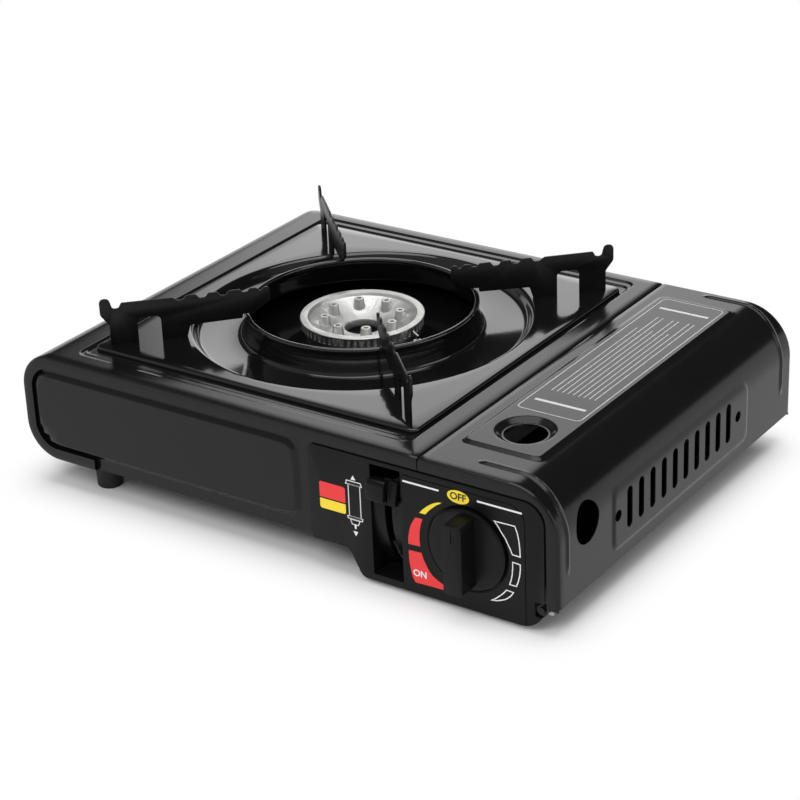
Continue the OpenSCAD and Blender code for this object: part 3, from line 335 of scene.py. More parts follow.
def cut(piece, cutters):
    """Cuts closed shapes out of a piece: round pins, stretched where asked, or boxes."""
    mesh = bpy.data.meshes.new("cutter")
    shape = bmesh.new()
    for matrix, radius, height, stretch in cutters:
        if radius is None:
            bmesh.ops.create_cube(shape, size=1.0, matrix=matrix)
            continue
        made = bmesh.ops.create_cone(shape, cap_ends=True, segments=48, radius1=radius * MM, radius2=radius * MM,
                                     depth=height * MM)
        for vertex in made["verts"]:
            if stretch and vertex.co.y > 1e-9:
                vertex.co.y += stretch * MM
            vertex.co = matrix @ vertex.co
    shape.to_mesh(mesh)
    shape.free()
    cutter = bpy.data.objects.new("cutter", mesh)
    bpy.context.collection.objects.link(cutter)
    modifier = piece.modifiers.new("cut", "BOOLEAN")
    modifier.operation = "DIFFERENCE"
    modifier.solver = "EXACT"
    modifier.object = cutter
    bake(piece, 30.0)
    bpy.data.objects.remove(cutter)


def dress(name, node, body, width=0.4, segments=2, degrees=35.0, angle=28.0, carve=()):
    """A copy of a node's mesh with softened edges, which stands for the node."""
    mesh = NODES[node].data.copy()
    shape = bmesh.new()
    shape.from_mesh(mesh)
    bmesh.ops.remove_doubles(shape, verts=shape.verts, dist=2e-6)
    bmesh.ops.dissolve_limit(shape, angle_limit=math.radians(0.6), verts=shape.verts, edges=shape.edges)
    shape.to_mesh(mesh)
    shape.free()
    piece = add_object(name, mesh, material_of.get(node, PLATED))
    for cutter in carve:
        cut(piece, [cutter])
    bevel = piece.modifiers.new("edges", "BEVEL")
    bevel.width = width * MM
    bevel.segments = segments
    bevel.limit_method = "ANGLE"
    bevel.angle_limit = math.radians(angle)
    bevel.use_clamp_overlap = True
    bake(piece, degrees)
    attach(piece, body)
    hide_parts(node)


# ------------------------------------------------------------------ sheet-metal skins

FLANGE_STEPS = (0.0, 0.5, 1.0)  # shares of the way across a flange
BEND_STEPS = (0.35, 0.7)  # shares of the quarter turn between flange and skin


def skin(name, outline, depth_lines, flange_of, raise_by):
    """A folded sheet: an outline seen from the front, swept to the rear, with turned-in flanges.

    outline is a list of (x, z, normal x, normal z, distance along it), flange_of gives the
    flange's width at an outline point, raise_by(x, y, z, s) the stamped height there.
    """
    rows = []
    for x, z, nx, nz, s in outline:
        wide = flange_of(x, z, nx, nz)
        edge = min(EDGE_R, wide)
        row = []

        def add(inward, y, lift=0.0):
            row.append(place(x - nx * (inward - lift), y, z - nz * (inward - lift)))

        for t in FLANGE_STEPS:
            add(wide + (edge - wide) * t, 0.0)
        for t in BEND_STEPS:
            a = t * math.pi / 2
            add(edge * (1 - math.sin(a)), EDGE_R * (1 - math.cos(a)))
        for y in depth_lines:
            add(0.0, y, raise_by(x, y, z, s))
        for t in reversed(BEND_STEPS):
            a = t * math.pi / 2
            add(edge * (1 - math.sin(a)), DEPTH - EDGE_R * (1 - math.cos(a)))
        for t in reversed(FLANGE_STEPS):
            add(wide + (edge - wide) * t, DEPTH)
        rows.append(row)
    piece = add_object(name, grid_mesh(name, rows), PAINT)
    thicken(piece, SHEET, 1.0)
    return piece


def arc(cx, cz, r, start, end, count):
    """Outline points round a corner, angles in degrees, with outward normals."""
    points = []
    for i in range(count + 1):
        a = math.radians(start + (end - start) * i / count)
        points.append((cx + r * math.cos(a), cz + r * math.sin(a), math.cos(a), math.sin(a)))
    return points


def with_length(points):
    """Adds the distance along the outline to each point, and drops repeats."""
    out, s = [], 0.0
    for i, p in enumerate(points):
        if i:
            step = math.hypot(p[0] - points[i - 1][0], p[1] - points[i - 1][1])
            if step < 1e-4:
                continue
            s += step
        out.append((*p, s))
    return out


# The casing: two stamped steps down to the pan, and a round cut-out over the burner well.
RECESS = (PAN_LOW.x - 3.5, PAN_LOW.y - 11.0, PAN_HIGH.x + 3.5, PAN_HIGH.y + 11.0)
INNER_RECESS = (RECESS[0] + 1.6, RECESS[1] + 5.0, RECESS[2] - 1.6, RECESS[3] - 5.0)
RECESS_DEEP = 1.5
FIRST_STEP = 0.8
STEP_SLOPE = 1.6
CUT_OUT_R = 99.0
near_left = [(RECESS[0] - 2.5, PAN_LOW.x + 2.5)]
near_right = [(PAN_HIGH.x - 2.5, RECESS[2] + 2.5)]
near_front = [(RECESS[1] - 2.5, PAN_LOW.y + 2.0)]
near_rear = [(PAN_HIGH.y - 2.0, RECESS[3] + 2.5)]


def casing_height(x, y, z, s):
    """Stamped height of the casing's top: a recess in two steps round the pan."""
    if z < TOP - 1.0:
        return 0.0
    outer = smooth(inside_rect(x, y, *RECESS, 6.0) / STEP_SLOPE + 0.2)
    inner = smooth(inside_rect(x, y, *INNER_RECESS, 4.0) / STEP_SLOPE + 0.2)
    return -FIRST_STEP * outer - (RECESS_DEEP - FIRST_STEP) * inner


outline = [(x, WRAP_Z, 0.0, -1.0) for x in (WRAP_W, 40.0, 30.0, CORNER_R)]
outline += arc(CORNER_R, WRAP_Z + CORNER_R, CORNER_R, 270, 180, 16)
outline += arc(CORNER_R, TOP - CORNER_R, CORNER_R, 180, 90, 16)
outline += [(x, TOP, 0.0, 1.0) for x in lines(CORNER_R, SEAM - 0.8, 5.0, near_left + near_right, 0.55)[1:]]
outline += [(SEAM - 0.24, TOP - 0.24, 0.0, 1.0), (SEAM, TOP - 0.8, 0.0, 1.0)]
outline = with_length(outline)
depth = lines(EDGE_R, DEPTH - EDGE_R, 5.0, near_front + near_rear, 0.55)


def casing_flange(x, z, nx, nz):
    """The casing's flange is as wide all along its outline."""
    return FLANGE


casing = skin("casing_skin", outline, depth, casing_flange, casing_height)
cut(casing, [(Matrix.Translation(place(PAN_X, PAN_Y, TOP)), CUT_OUT_R, 12.0, 0.0)])
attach(casing, "stove")
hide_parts("casing_shell")

# The lid: round outer edge, raised panels on top and side, beads, holes and slots.
PRESS = 1.3
TOP_PANEL = (SEAM + 8.3, 26.0, SEAM + 55.8, DEPTH - 18.0)
SIDE_PANEL = (52.0, LID_LOW.z + 11.6, 202.0, 59.2)
FINGER = (TOP_PANEL[0] + 23.75, 51.5)
DISH_R, DISH_DEEP = 16.4, 2.2  # the dish round the finger hole
LID_SIDE_LOW = 16.7
BEAD_X, BEAD_Z = 292.0, 33.0  # where the beads start on the top and end on the side
LID_BEAD_FROM = BEAD_X - LID_LEFT
LID_BEAD_LENGTH = (BODY_W - LID_R - BEAD_X) + LID_R * math.pi / 2 + (TOP - LID_R - BEAD_Z)


def lid_height(x, y, z, s):
    """Stamped height of the lid at a point."""
    height = 0.0
    if z > TOP - 1.0:
        panel = inside_rect(x, y, *TOP_PANEL, 5.0)
        height = PRESS * smooth(panel / 2.4)
        reach = math.hypot(x - FINGER[0], y - FINGER[1])
        height -= DISH_DEEP * smooth((DISH_R - reach) / 4.4)
    elif x > BODY_W - 1.0:
        panel = inside_rect(y, z, *SIDE_PANEL, 6.0)
        height = PRESS * 0.7 * smooth(panel / 2.6)
    # beads near the front and rear corners
    along = s - LID_BEAD_FROM
    if 0.0 < along < LID_BEAD_LENGTH:
        fade = smooth(along / 5.0) * smooth((LID_BEAD_LENGTH - along) / 5.0)
        drift = smooth((along - 26.0) / 34.0)
        for y_top, y_side in ((12.8, 8.6), (DEPTH - 6.0, DEPTH - 12.6)):
            bead = y_top + (y_side - y_top) * drift
            height += 0.9 * fade * smooth(1.0 - abs(y - bead) / 2.2)
    return height


lid_outline = [(LID_LEFT, TOP - 0.8, 0.0, 1.0), (LID_LEFT + 0.24, TOP - 0.24, 0.0, 1.0)]
lid_x_lines = lines(LID_LEFT + 0.8, BODY_W - LID_R, 3.0, [(TOP_PANEL[0] - 0.5, TOP_PANEL[0] + 3.0),
                                                        (FINGER[0] - 17.5, FINGER[0] + 17.5),
                                                        (TOP_PANEL[2] - 3.0, TOP_PANEL[2] + 0.5)], 0.75)
lid_outline += [(x, TOP, 0.0, 1.0) for x in lid_x_lines]
lid_outline += arc(BODY_W - LID_R, TOP - LID_R, LID_R, 90, 0, 26)
lid_z_lines = lines(LID_SIDE_LOW, TOP - LID_R, 3.0, [(SIDE_PANEL[1] - 0.5, SIDE_PANEL[1] + 3.2)], 0.75)
lid_outline += [(BODY_W, z, 1.0, 0.0) for z in reversed(lid_z_lines)]
lid_outline = with_length(lid_outline)
lid_fine = [(6.0, 16.0), (24.0, 30.0), (33.0, 70.0), (DEPTH - 22.0, DEPTH - 2.0),
            (SIDE_PANEL[2] - 4.0, SIDE_PANEL[2] + 1.0)]
lid_depth = lines(EDGE_R, DEPTH - EDGE_R, 3.0, lid_fine, 0.75)
OPEN_X, OPEN_Z, OPEN_R = FASCIA_HIGH.x + 0.5, FASCIA_HIGH.z + 0.4, 12.4


def lid_flange(x, z, nx, nz):
    """Width of the lid's flange: as far in as the outline of the fascia allows."""
    wide = 0.0
    while wide < 16.0:
        px, pz = x - nx * wide, z - nz * wide
        if inside_rect(px, pz, SEAM - 60.0, -60.0, OPEN_X, OPEN_Z, OPEN_R) > 0.0:
            break
        wide += 0.1
    return wide


lid = skin("lid_skin", lid_outline, lid_depth, lid_flange, lid_height)
SIDEWAYS = Matrix.Rotation(math.radians(90), 4, "Z") @ Matrix.Rotation(math.radians(90), 4, "X")
SIDE_CUT = 16.0  # length of the cutters through the lid's side
SLOT_COUNT, SLOT_Y, SLOT_PITCH = 10, 68.8, 12.07
SLOT_Z, SLOT_R, SLOT_LONG = 31.7, 2.8, 17.4
holes = [(Matrix.Translation(place(FINGER[0], FINGER[1], TOP)), 11.4, 20.0, 0.0)]
holes += [(Matrix.Translation(place(BODY_W, y, z)) @ SIDEWAYS, r, SIDE_CUT, 0.0)
          for y, z, r in ((28.2, 52.7, 11.2), (57.1, 43.3, 3.1), (189.0, 42.5, 3.1))]
holes += [(Matrix.Translation(place(BODY_W, SLOT_Y + SLOT_PITCH * i, SLOT_Z + SLOT_R)) @ SIDEWAYS, SLOT_R, SIDE_CUT,
           SLOT_LONG) for i in range(SLOT_COUNT)]
cut(lid, holes)
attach(lid, "lid")
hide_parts("canister_lid")

# Ears of the lid round its hinge pins.
HINGE_X, HINGE_Z, EAR_R = BODY_W - 9.5, 14.5, 3.1
ear_ring = [(EAR_R * math.cos(a), EAR_R * math.sin(a)) for a in [math.radians(78 + 12 * i) for i in range(23)]]
ear_ring += [(2.9, 0.8), (9.1, 0.8), (9.1, 2.18), (2.1, 2.18)]
for name, y in (("lid_ear_front", 0.0), ("lid_ear_rear", DEPTH - SHEET)):
    ear = flat_solid(name, [place(HINGE_X + px, y, HINGE_Z + pz) for px, pz in ear_ring], SHEET, PAINT)
    soften(ear.data)
    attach(ear, "lid")

# The front panel, a plate with a soft pressed rectangle.
PANEL_Y = 2.6
PANEL_RIGHT = 232.0
PANEL_PRESS = 2.3
PRESS_RECT = (7.4, WRAP_Z + 7.4, 189.0, TOP - 9.5)
INSIDE_R = CORNER_R - 2.2  # the panel's corners stay inside the shell's
panel_x = lines(PANEL_LOW.x + 0.3, PANEL_RIGHT, 5.0, [(4.0, 12.0), (183.0, 191.0)], 0.5)
panel_z = lines(PANEL_LOW.z + 0.4, TOP - 2.6, 5.0, [(PRESS_RECT[1] - 2, PRESS_RECT[1] + 5),
                                                    (PRESS_RECT[3] - 5, PRESS_RECT[3] + 2)], 0.5)
rows = []
for z in panel_z:
    low_x = 2.6
    if z < WRAP_Z + CORNER_R:
        low_x = CORNER_R - math.sqrt(max(0.0, INSIDE_R ** 2 - (WRAP_Z + CORNER_R - z) ** 2))
    if z > TOP - CORNER_R:
        low_x = CORNER_R - math.sqrt(max(0.0, INSIDE_R ** 2 - (z - TOP + CORNER_R) ** 2))
    row = []
    for x in panel_x:
        r = 15.0 if x < 90 and z < 45 else 10.0
        press = PANEL_PRESS * smooth(inside_rect(x, z, *PRESS_RECT, r) / 3.0)
        row.append(place(max(x, low_x), PANEL_Y - press, z))
    rows.append(row)
panel = add_object("front_panel_skin", grid_mesh("front_panel_skin", rows), PAINT)
thicken(panel, SHEET, -1.0)
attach(panel, "stove")
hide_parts("front_panel")

# ------------------------------------------------------------------ drip pan

RIM_R = 1.5
RING_R = 64.5
CHANNEL_Z = PAN_TOP - 6.5
WALL_FOOT = RING_R + 2.2
FLAT_FROM = 97.6  # where the channel ends and the flat of the plate starts
PAN_CORNER_R = 4.0
PAN_EDGE_R = 1.3
PAN_SKIRT_Z = PAN_LOW.z + 5.1
PAN_SHEET = 0.6
SPOKES = 160

# The pan's section from the rolled rim over the ring wall and the channel, as (radius, z).
profile = []
for i in range(13):
    a = math.radians(215 - 22 * i)
    profile.append((RING_R + RIM_R * math.cos(a), RING_TOP - RIM_R + RIM_R * math.sin(a)))
profile += [(RING_R + 0.75, RING_TOP - 3.6), (RING_R + 1.3, RING_TOP - 7.0), (WALL_FOOT + 0.2, CHANNEL_Z + 4.2),
            (WALL_FOOT + 0.5, CHANNEL_Z + 2.0), (WALL_FOOT + 1.1, CHANNEL_Z + 0.8), (WALL_FOOT + 2.3, CHANNEL_Z + 0.15),
            (WALL_FOOT + 4.0, CHANNEL_Z), (80.0, CHANNEL_Z + 0.45), (90.0, CHANNEL_Z + 0.95), (91.4, CHANNEL_Z + 1.2),
            (92.5, CHANNEL_Z + 1.8), (93.4, CHANNEL_Z + 2.9), (94.2, CHANNEL_Z + 4.2), (94.9, CHANNEL_Z + 5.2),
            (95.6, CHANNEL_Z + 5.9), (96.5, PAN_TOP - 0.12), (FLAT_FROM, PAN_TOP)]


def square_reach(a, half, r):
    """Distance from the middle to the edge of a square with round corners, at angle a."""
    c, s = abs(math.cos(a)), abs(math.sin(a))
    reach = half / max(c, s)
    if min(c, s) * reach > half - r:
        k = half - r
        b = -(c + s) * k
        reach = -b + math.sqrt(b * b - (2 * k * k - r * r))
    return reach


# Spokes round the pan, closer together at the plate's four corners.
angles = []
for i in range(SPOKES):
    a = 360.0 * i / SPOKES
    angles.append(a)
    off = (a + 45.0) % 90.0
    if abs(off) < 2.0 or abs(off - 90) < 2.0:
        angles += [a - 1.4, a - 0.9, a - 0.45, a + 0.45, a + 0.9, a + 1.4]
angles = sorted(set(round(a, 3) for a in angles))
rows = []
for a in angles:
    t = math.radians(a)
    c, s = math.cos(t), math.sin(t)
    row = [place(PAN_X + r * c, PAN_Y + r * s, z) for r, z in profile]
    reach = square_reach(t, PAN_HALF, PAN_CORNER_R)
    for share in (0.25, 0.5, 0.75, 1.0):
        r = FLAT_FROM + (reach - PAN_EDGE_R - FLAT_FROM) * share
        row.append(place(PAN_X + r * c, PAN_Y + r * s, PAN_TOP))
    for bend in (30, 60, 90):
        b = math.radians(bend)
        r = reach - PAN_EDGE_R + PAN_EDGE_R * math.sin(b)
        row.append(place(PAN_X + r * c, PAN_Y + r * s, PAN_TOP - PAN_EDGE_R * (1 - math.cos(b))))
    row.append(place(PAN_X + reach * c, PAN_Y + reach * s, PAN_SKIRT_Z))
    rows.append(row)
rows.append(rows[0])
pan_mesh = grid_mesh("drip_pan_skin", rows)
shape = bmesh.new()
shape.from_mesh(pan_mesh)
bmesh.ops.remove_doubles(shape, verts=shape.verts, dist=1e-6)
bmesh.ops.recalc_face_normals(shape, faces=shape.faces)
shape.to_mesh(pan_mesh)
shape.free()
pan = add_object("drip_pan_skin", pan_mesh, ENAMEL)
thicken(pan, PAN_SHEET, -1.0, 40.0)
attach(pan, "trivet")
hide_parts("drip_pan")

# ------------------------------------------------------------------ pieces with softened edges

for node in [n for n in NODES if n.startswith("pan_support")]:
    dress(node + "_plate", node, "trivet", width=0.3)
dress("burner_head_cast", "burner_head", "stove", width=0.22, degrees=40.0)
dress("flame_ring_cast", "flame_ring", "stove", width=0.12, segments=1)
dress("fascia_moulding", "control_fascia", "stove", width=0.9, segments=3)
dress("knob_moulding", "control_knob", "knob", width=0.9, segments=3)
# The lever's tab is cut down to a finger piece, in the lever's own frame: its pivot, tilted to the rest place.
LEVER_PIVOT_Y, LEVER_PIVOT_Z, LEVER_TILT = 58.0, 44.0, -12.5
TAB_FRONT, TAB_BACK = -72.0, -62.3
lever_low, lever_high = node_box("lock_lever")
lever_pivot = place((lever_low.x + lever_high.x) / 2, LEVER_PIVOT_Y, LEVER_PIVOT_Z)
lever_at = Matrix.Translation(lever_pivot) @ Matrix.Rotation(math.radians(LEVER_TILT), 4, "X")
dress("lever_moulding", "lock_lever", "lever", width=0.8, segments=3, carve=[
    block_cutter(lever_at, (3.0, TAB_FRONT, -9.0), (9.0, TAB_BACK, 9.0)),
    block_cutter(lever_at, (-9.0, TAB_FRONT, -9.0), (9.0, TAB_BACK, -4.4)),
])
for node in [n for n in NODES if n.startswith("foot_")]:
    dress(node + "_rubber", node, "stove", width=0.4)

# ------------------------------------------------------------------ printed marks on the fascia

FACE_Y = FASCIA_LOW.y
PLATE_RAISE, PLATE_THICK, PLATE_CHAMFER = 0.4, 0.6, 0.14
PLATE_Y = FACE_Y - PLATE_RAISE
INK = 0.06
INK_THICK = INK * 0.9
KNOB_GAP_R = (KNOB_HIGH.x - KNOB_LOW.x) / 2 + 1.6
UPRIGHT = Matrix.Rotation(math.radians(90), 4, "X")


def from_curve(name, curve, matrix, material):
    """A mesh piece from a curve or text, put in its place."""
    source = bpy.data.objects.new(name, curve)
    bpy.context.collection.objects.link(source)
    bpy.context.view_layer.update()
    graph = bpy.context.evaluated_depsgraph_get()
    mesh = bpy.data.meshes.new_from_object(source.evaluated_get(graph))
    mesh.transform(matrix)
    bpy.data.objects.remove(source)
    return add_object(name, mesh, material)


def flat_plate(name, loops, thick, chamfer, matrix, material):
    """A thin plate with chamfered edges; the first loop is its outline, the others are holes."""
    curve = bpy.data.curves.new(name, "CURVE")
    curve.dimensions = "2D"
    curve.fill_mode = "BOTH"
    curve.extrude = (thick / 2 - chamfer) * MM
    curve.bevel_depth = chamfer * MM
    curve.bevel_resolution = 1
    curve.offset = -chamfer * MM
    for loop in loops:
        spline = curve.splines.new("POLY")
        spline.points.add(len(loop) - 1)
        for point, (x, y) in zip(spline.points, loop):
            point.co = (x * MM, y * MM, 0.0, 1.0)
        spline.use_cyclic_u = True
    return from_curve(name, curve, matrix, material)


def oval(x, z, half_wide, half_high, step):
    """Points of an oval round (x, z), one every so many degrees."""
    turns = [math.radians(a) for a in range(0, 360, step)]
    return [(x + half_wide * math.cos(a), z + half_high * math.sin(a)) for a in turns]


PLATE_LEFT, PLATE_LOW, PLATE_RIGHT, PLATE_HIGH, PLATE_R = 255.3, 3.7, 326.6, 69.2, 9.0
plate_outline = [(PLATE_LEFT, PLATE_LOW), (PLATE_RIGHT, PLATE_LOW)]
plate_outline += [(x, z) for x, z, _, _ in arc(PLATE_RIGHT - PLATE_R, PLATE_HIGH - PLATE_R, PLATE_R, 0, 90, 10)]
plate_outline += [(PLATE_LEFT, PLATE_HIGH)]
knob_hole = oval(KNOB_X, KNOB_Z, KNOB_GAP_R, KNOB_GAP_R, 5)
plate_at = Matrix.Translation(place(0, PLATE_Y + PLATE_THICK / 2, 0)) @ UPRIGHT
plate = flat_plate("fascia_plate", [plate_outline, knob_hole], PLATE_THICK, PLATE_CHAMFER, plate_at, PLASTIC)
soften(plate.data, 25.0)
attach(plate, "stove")


def band_edges(points, width):
    """The two edges of a band of the given width along a closed flat line."""
    count = len(points)
    outer, inner = [], []
    for i in range(count):
        here = Vector(points[i])
        way_in = (here - Vector(points[i - 1])).normalized()
        way_out = (Vector(points[(i + 1) % count]) - here).normalized()
        across = Vector((-(way_in + way_out).y, (way_in + way_out).x)).normalized()
        stretch = 1.0 / max(0.4, across.dot(Vector((-way_in.y, way_in.x))))
        outer.append(here + across * width / 2 * stretch)
        inner.append(here - across * width / 2 * stretch)
    return outer + inner


def band_faces(count):
    """Faces between the two edges that band_edges gives for this many points."""
    return [(i, (i + 1) % count, count + (i + 1) % count, count + i) for i in range(count)]


def print_line(name, points, width, material, face):
    """A closed printed line along (x, z) points, as one flat band."""
    mesh = bpy.data.meshes.new(name)
    mesh.from_pydata([place(p.x, face - INK, p.y) for p in band_edges(points, width)], [], band_faces(len(points)))
    mesh.update()
    piece = add_object(name, mesh, material)
    thicken(piece, INK_THICK, 0.0)
    return piece


CAN_LOW, CAN_HIGH = 35.3, 57.3
# Name, ink, width of a line or None where the shape is filled, face that carries it, (x, z) points.
MARKS = [
    ("mark_start_arc", YELLOW_INK, None, PLATE_Y,
     [(265.4, 50.5), (269.1, 50.6), (270.5, 52.5), (272.1, 54.2), (275.4, 57.2), (279.1, 59.7), (276.9, 59.4),
      (274.8, 58.5), (272.0, 56.9), (269.6, 55.0), (267.3, 52.8)]),
    ("mark_open_upper", RED_INK, None, PLATE_Y,
     [(263.1, 47.3), (267.3, 47.4), (266.4, 45.4), (265.9, 43.3), (265.2, 40.4), (265.0, 37.5), (264.9, 34.3),
      (265.2, 31.2), (258.0, 30.9), (258.1, 34.6), (258.8, 38.2), (259.5, 41.0), (260.7, 43.7), (261.8, 45.6)]),
    ("mark_open_lower", RED_INK, None, PLATE_Y,
     [(258.0, 27.4), (265.9, 27.8), (266.8, 24.6), (268.3, 21.6), (269.9, 18.8), (272.0, 16.4), (275.2, 14.4),
      (278.7, 13.0), (279.2, 10.1), (261.5, 9.6), (260.1, 12.0), (259.4, 14.7), (258.2, 21.0)]),
    ("mark_bar_left", WHITE_INK, None, PLATE_Y, [(255.8, 65.6), (277.4, 65.6), (277.4, 66.6), (255.8, 66.6)]),
    ("mark_bar_right", WHITE_INK, None, PLATE_Y, [(299.8, 65.7), (325.4, 65.7), (325.4, 66.7), (299.8, 66.7)]),
    ("mark_off_oval", YELLOW_INK, None, PLATE_Y, oval(288.8, 65.5, 6.4, 3.6, 10)),
    ("mark_level_high", WHITE_INK, 0.6, PLATE_Y,
     [(309.6, 57.9), (321.3, 58.2), (322.6, 54.8), (323.4, 51.2), (323.9, 46.6), (324.1, 41.8), (319.5, 42.0),
      (318.6, 44.4), (317.4, 46.6), (315.8, 49.8), (313.5, 52.7), (311.8, 55.4)]),
    ("mark_level_middle", WHITE_INK, 0.6, PLATE_Y,
     [(319.7, 37.8), (324.0, 37.5), (324.0, 34.4), (323.6, 31.3), (322.8, 27.9), (321.6, 24.7), (317.7, 24.7),
      (318.6, 27.4), (319.2, 30.1), (319.6, 34.0)]),
    ("mark_level_low", WHITE_INK, 0.6, PLATE_Y,
     [(315.9, 21.0), (319.8, 20.7), (318.5, 18.6), (316.8, 16.8), (315.0, 15.4), (313.0, 14.4), (310.0, 13.2),
      (306.9, 12.6), (309.2, 14.1), (311.4, 16.1), (313.9, 18.5)]),
    ("mark_patch_red", RED_INK, None, FACE_Y,
     [(203.6, 43.6), (219.7, 43.6), (219.7, 51.7), (218.9, 52.5), (204.4, 52.5), (203.6, 51.7)]),
    ("mark_patch_yellow", YELLOW_INK, None, FACE_Y,
     [(203.6, 37.9), (204.4, 37.1), (218.9, 37.1), (219.7, 37.9), (219.7, 42.8), (203.6, 42.8)]),
    ("mark_can", WHITE_INK, 0.5, FACE_Y,
     [(221.9, CAN_HIGH - 2.0), (221.9, CAN_LOW + 1.7), (229.1, CAN_LOW + 1.7), (229.1, CAN_HIGH - 2.0)]),
    ("mark_can_top", WHITE_INK, 0.5, FACE_Y,
     [(220.4, CAN_HIGH - 1.9), (230.2, CAN_HIGH - 1.9), (229.6, CAN_HIGH), (221.0, CAN_HIGH)]),
    ("mark_can_foot", WHITE_INK, 0.45, FACE_Y,
     [(221.0, CAN_LOW + 0.2), (229.8, CAN_LOW + 0.2), (230.2, CAN_LOW + 1.6), (220.7, CAN_LOW + 1.6)]),
    ("mark_can_neck", WHITE_INK, 0.45, FACE_Y,
     [(222.4, CAN_LOW - 0.1), (228.3, CAN_LOW - 0.1), (227.2, CAN_LOW - 2.7), (223.3, CAN_LOW - 2.7)]),
    ("mark_can_tip", WHITE_INK, None, FACE_Y,
     [(224.7, CAN_LOW - 2.8), (226.0, CAN_LOW - 2.8), (225.8, CAN_LOW - 5.2), (224.9, CAN_LOW - 5.2)]),
    ("mark_arrow_up", WHITE_INK, None, FACE_Y, [(223.6, 58.3), (226.7, 58.3), (225.1, 60.8)]),
    ("mark_arrow_down", WHITE_INK, None, FACE_Y, [(223.8, 28.7), (225.3, 25.9), (226.8, 28.7)]),
]
for name, ink, width, face, points in MARKS:
    if width is None:
        mark = flat_solid(name, [place(x, face - INK, z) for x, z in points], INK_THICK, ink)
    else:
        mark = print_line(name, points, width, ink, face)
    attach(mark, "stove")


def print_word(name, text, x, z, size, material):
    """A short printed word in Blender's built-in font."""
    curve = bpy.data.curves.new(name, "FONT")
    curve.body = text
    curve.size = size * MM
    curve.align_x = "CENTER"
    curve.align_y = "CENTER"
    curve.extrude = 0.02 * MM
    curve.offset = 0.12 * MM
    piece = from_curve(name, curve, Matrix.Translation(place(x, PLATE_Y - 2.4 * INK, z)) @ UPRIGHT, material)
    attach(piece, "stove")


print_word("mark_word_off", "OFF", 288.8, 65.5, 5.4, BLACK_INK)
print_word("mark_word_on", "ON", 264.6, 15.2, 5.2, WHITE_INK)

# A plain printed frame with a few bars on the lid's raised panel.
LABEL_Z = TOP + PRESS + INK
LABEL_INK_THICK = 0.04
LABEL = (277.2, 72.6, 314.6, 232.8)
LABEL_R = 3.0


def lid_print(name, points, faces):
    """Ink on the lid's panel, from flat (x, y) points and the faces between them."""
    mesh = bpy.data.meshes.new(name)
    mesh.from_pydata([place(x, y, LABEL_Z) for x, y in points], [], faces)
    mesh.update()
    piece = add_object(name, mesh, LABEL_INK)
    thicken(piece, LABEL_INK_THICK, 0.0)
    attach(piece, "lid")


low_x, low_y, high_x, high_y = LABEL[0] + LABEL_R, LABEL[1] + LABEL_R, LABEL[2] - LABEL_R, LABEL[3] - LABEL_R
label_outline = []
for cx, cy, start in ((high_x, high_y, 0), (low_x, high_y, 90), (low_x, low_y, 180), (high_x, low_y, 270)):
    label_outline += [(x, y) for x, y, _, _ in arc(cx, cy, LABEL_R, start, start + 90, 5)]
lid_print("label_frame", band_edges(label_outline, 0.5), band_faces(len(label_outline)))

# Two wide bars across the ends and nine long thin ones between them, as (low x, low y, high x, high y).
bars = [(281.0, 84.0, 311.0, 86.2), (281.0, 219.0, 311.0, 221.2)]
for i in range(9):
    x = 283.0 + 3.2 * i
    bars.append((x, 98.0, x + 0.5, 208.0 if i % 3 else 190.0))
bar_points = [p for x0, y0, x1, y1 in bars for p in ((x0, y0), (x1, y0), (x1, y1), (x0, y1))]
lid_print("label_bars", bar_points, [tuple(range(4 * i, 4 * i + 4)) for i in range(len(bars))])

# ------------------------------------------------------------------ floor and light


def math_node(nodes, links, operation, first, second=None):
    """A Math node; each input is a socket or a number."""
    node = nodes.new("ShaderNodeMath")
    node.operation = operation
    for slot_number, value in ((0, first), (1, second)):
        if value is None:
            continue
        if isinstance(value, (int, float)):
            node.inputs[slot_number].default_value = value
        else:
            links.new(value, node.inputs[slot_number])
    return node.outputs["Value"]


def ramp(nodes, links, value, low, high, at_low=0.0, at_high=1.0):
    """A smooth step of a value between two limits."""
    node = nodes.new("ShaderNodeMapRange")
    node.interpolation_type = "SMOOTHSTEP"
    node.inputs["From Min"].default_value = low
    node.inputs["From Max"].default_value = high
    node.inputs["To Min"].default_value = at_low
    node.inputs["To Max"].default_value = at_high
    links.new(value, node.inputs["Value"])
    return node.outputs["Result"]


# Metres: half sides of the floor's rectangle that shows the shadow, and the fade to white round it.
SHADOW_HALF_X, SHADOW_HALF_Y, SHADOW_FADE = 0.158, 0.110, 0.042


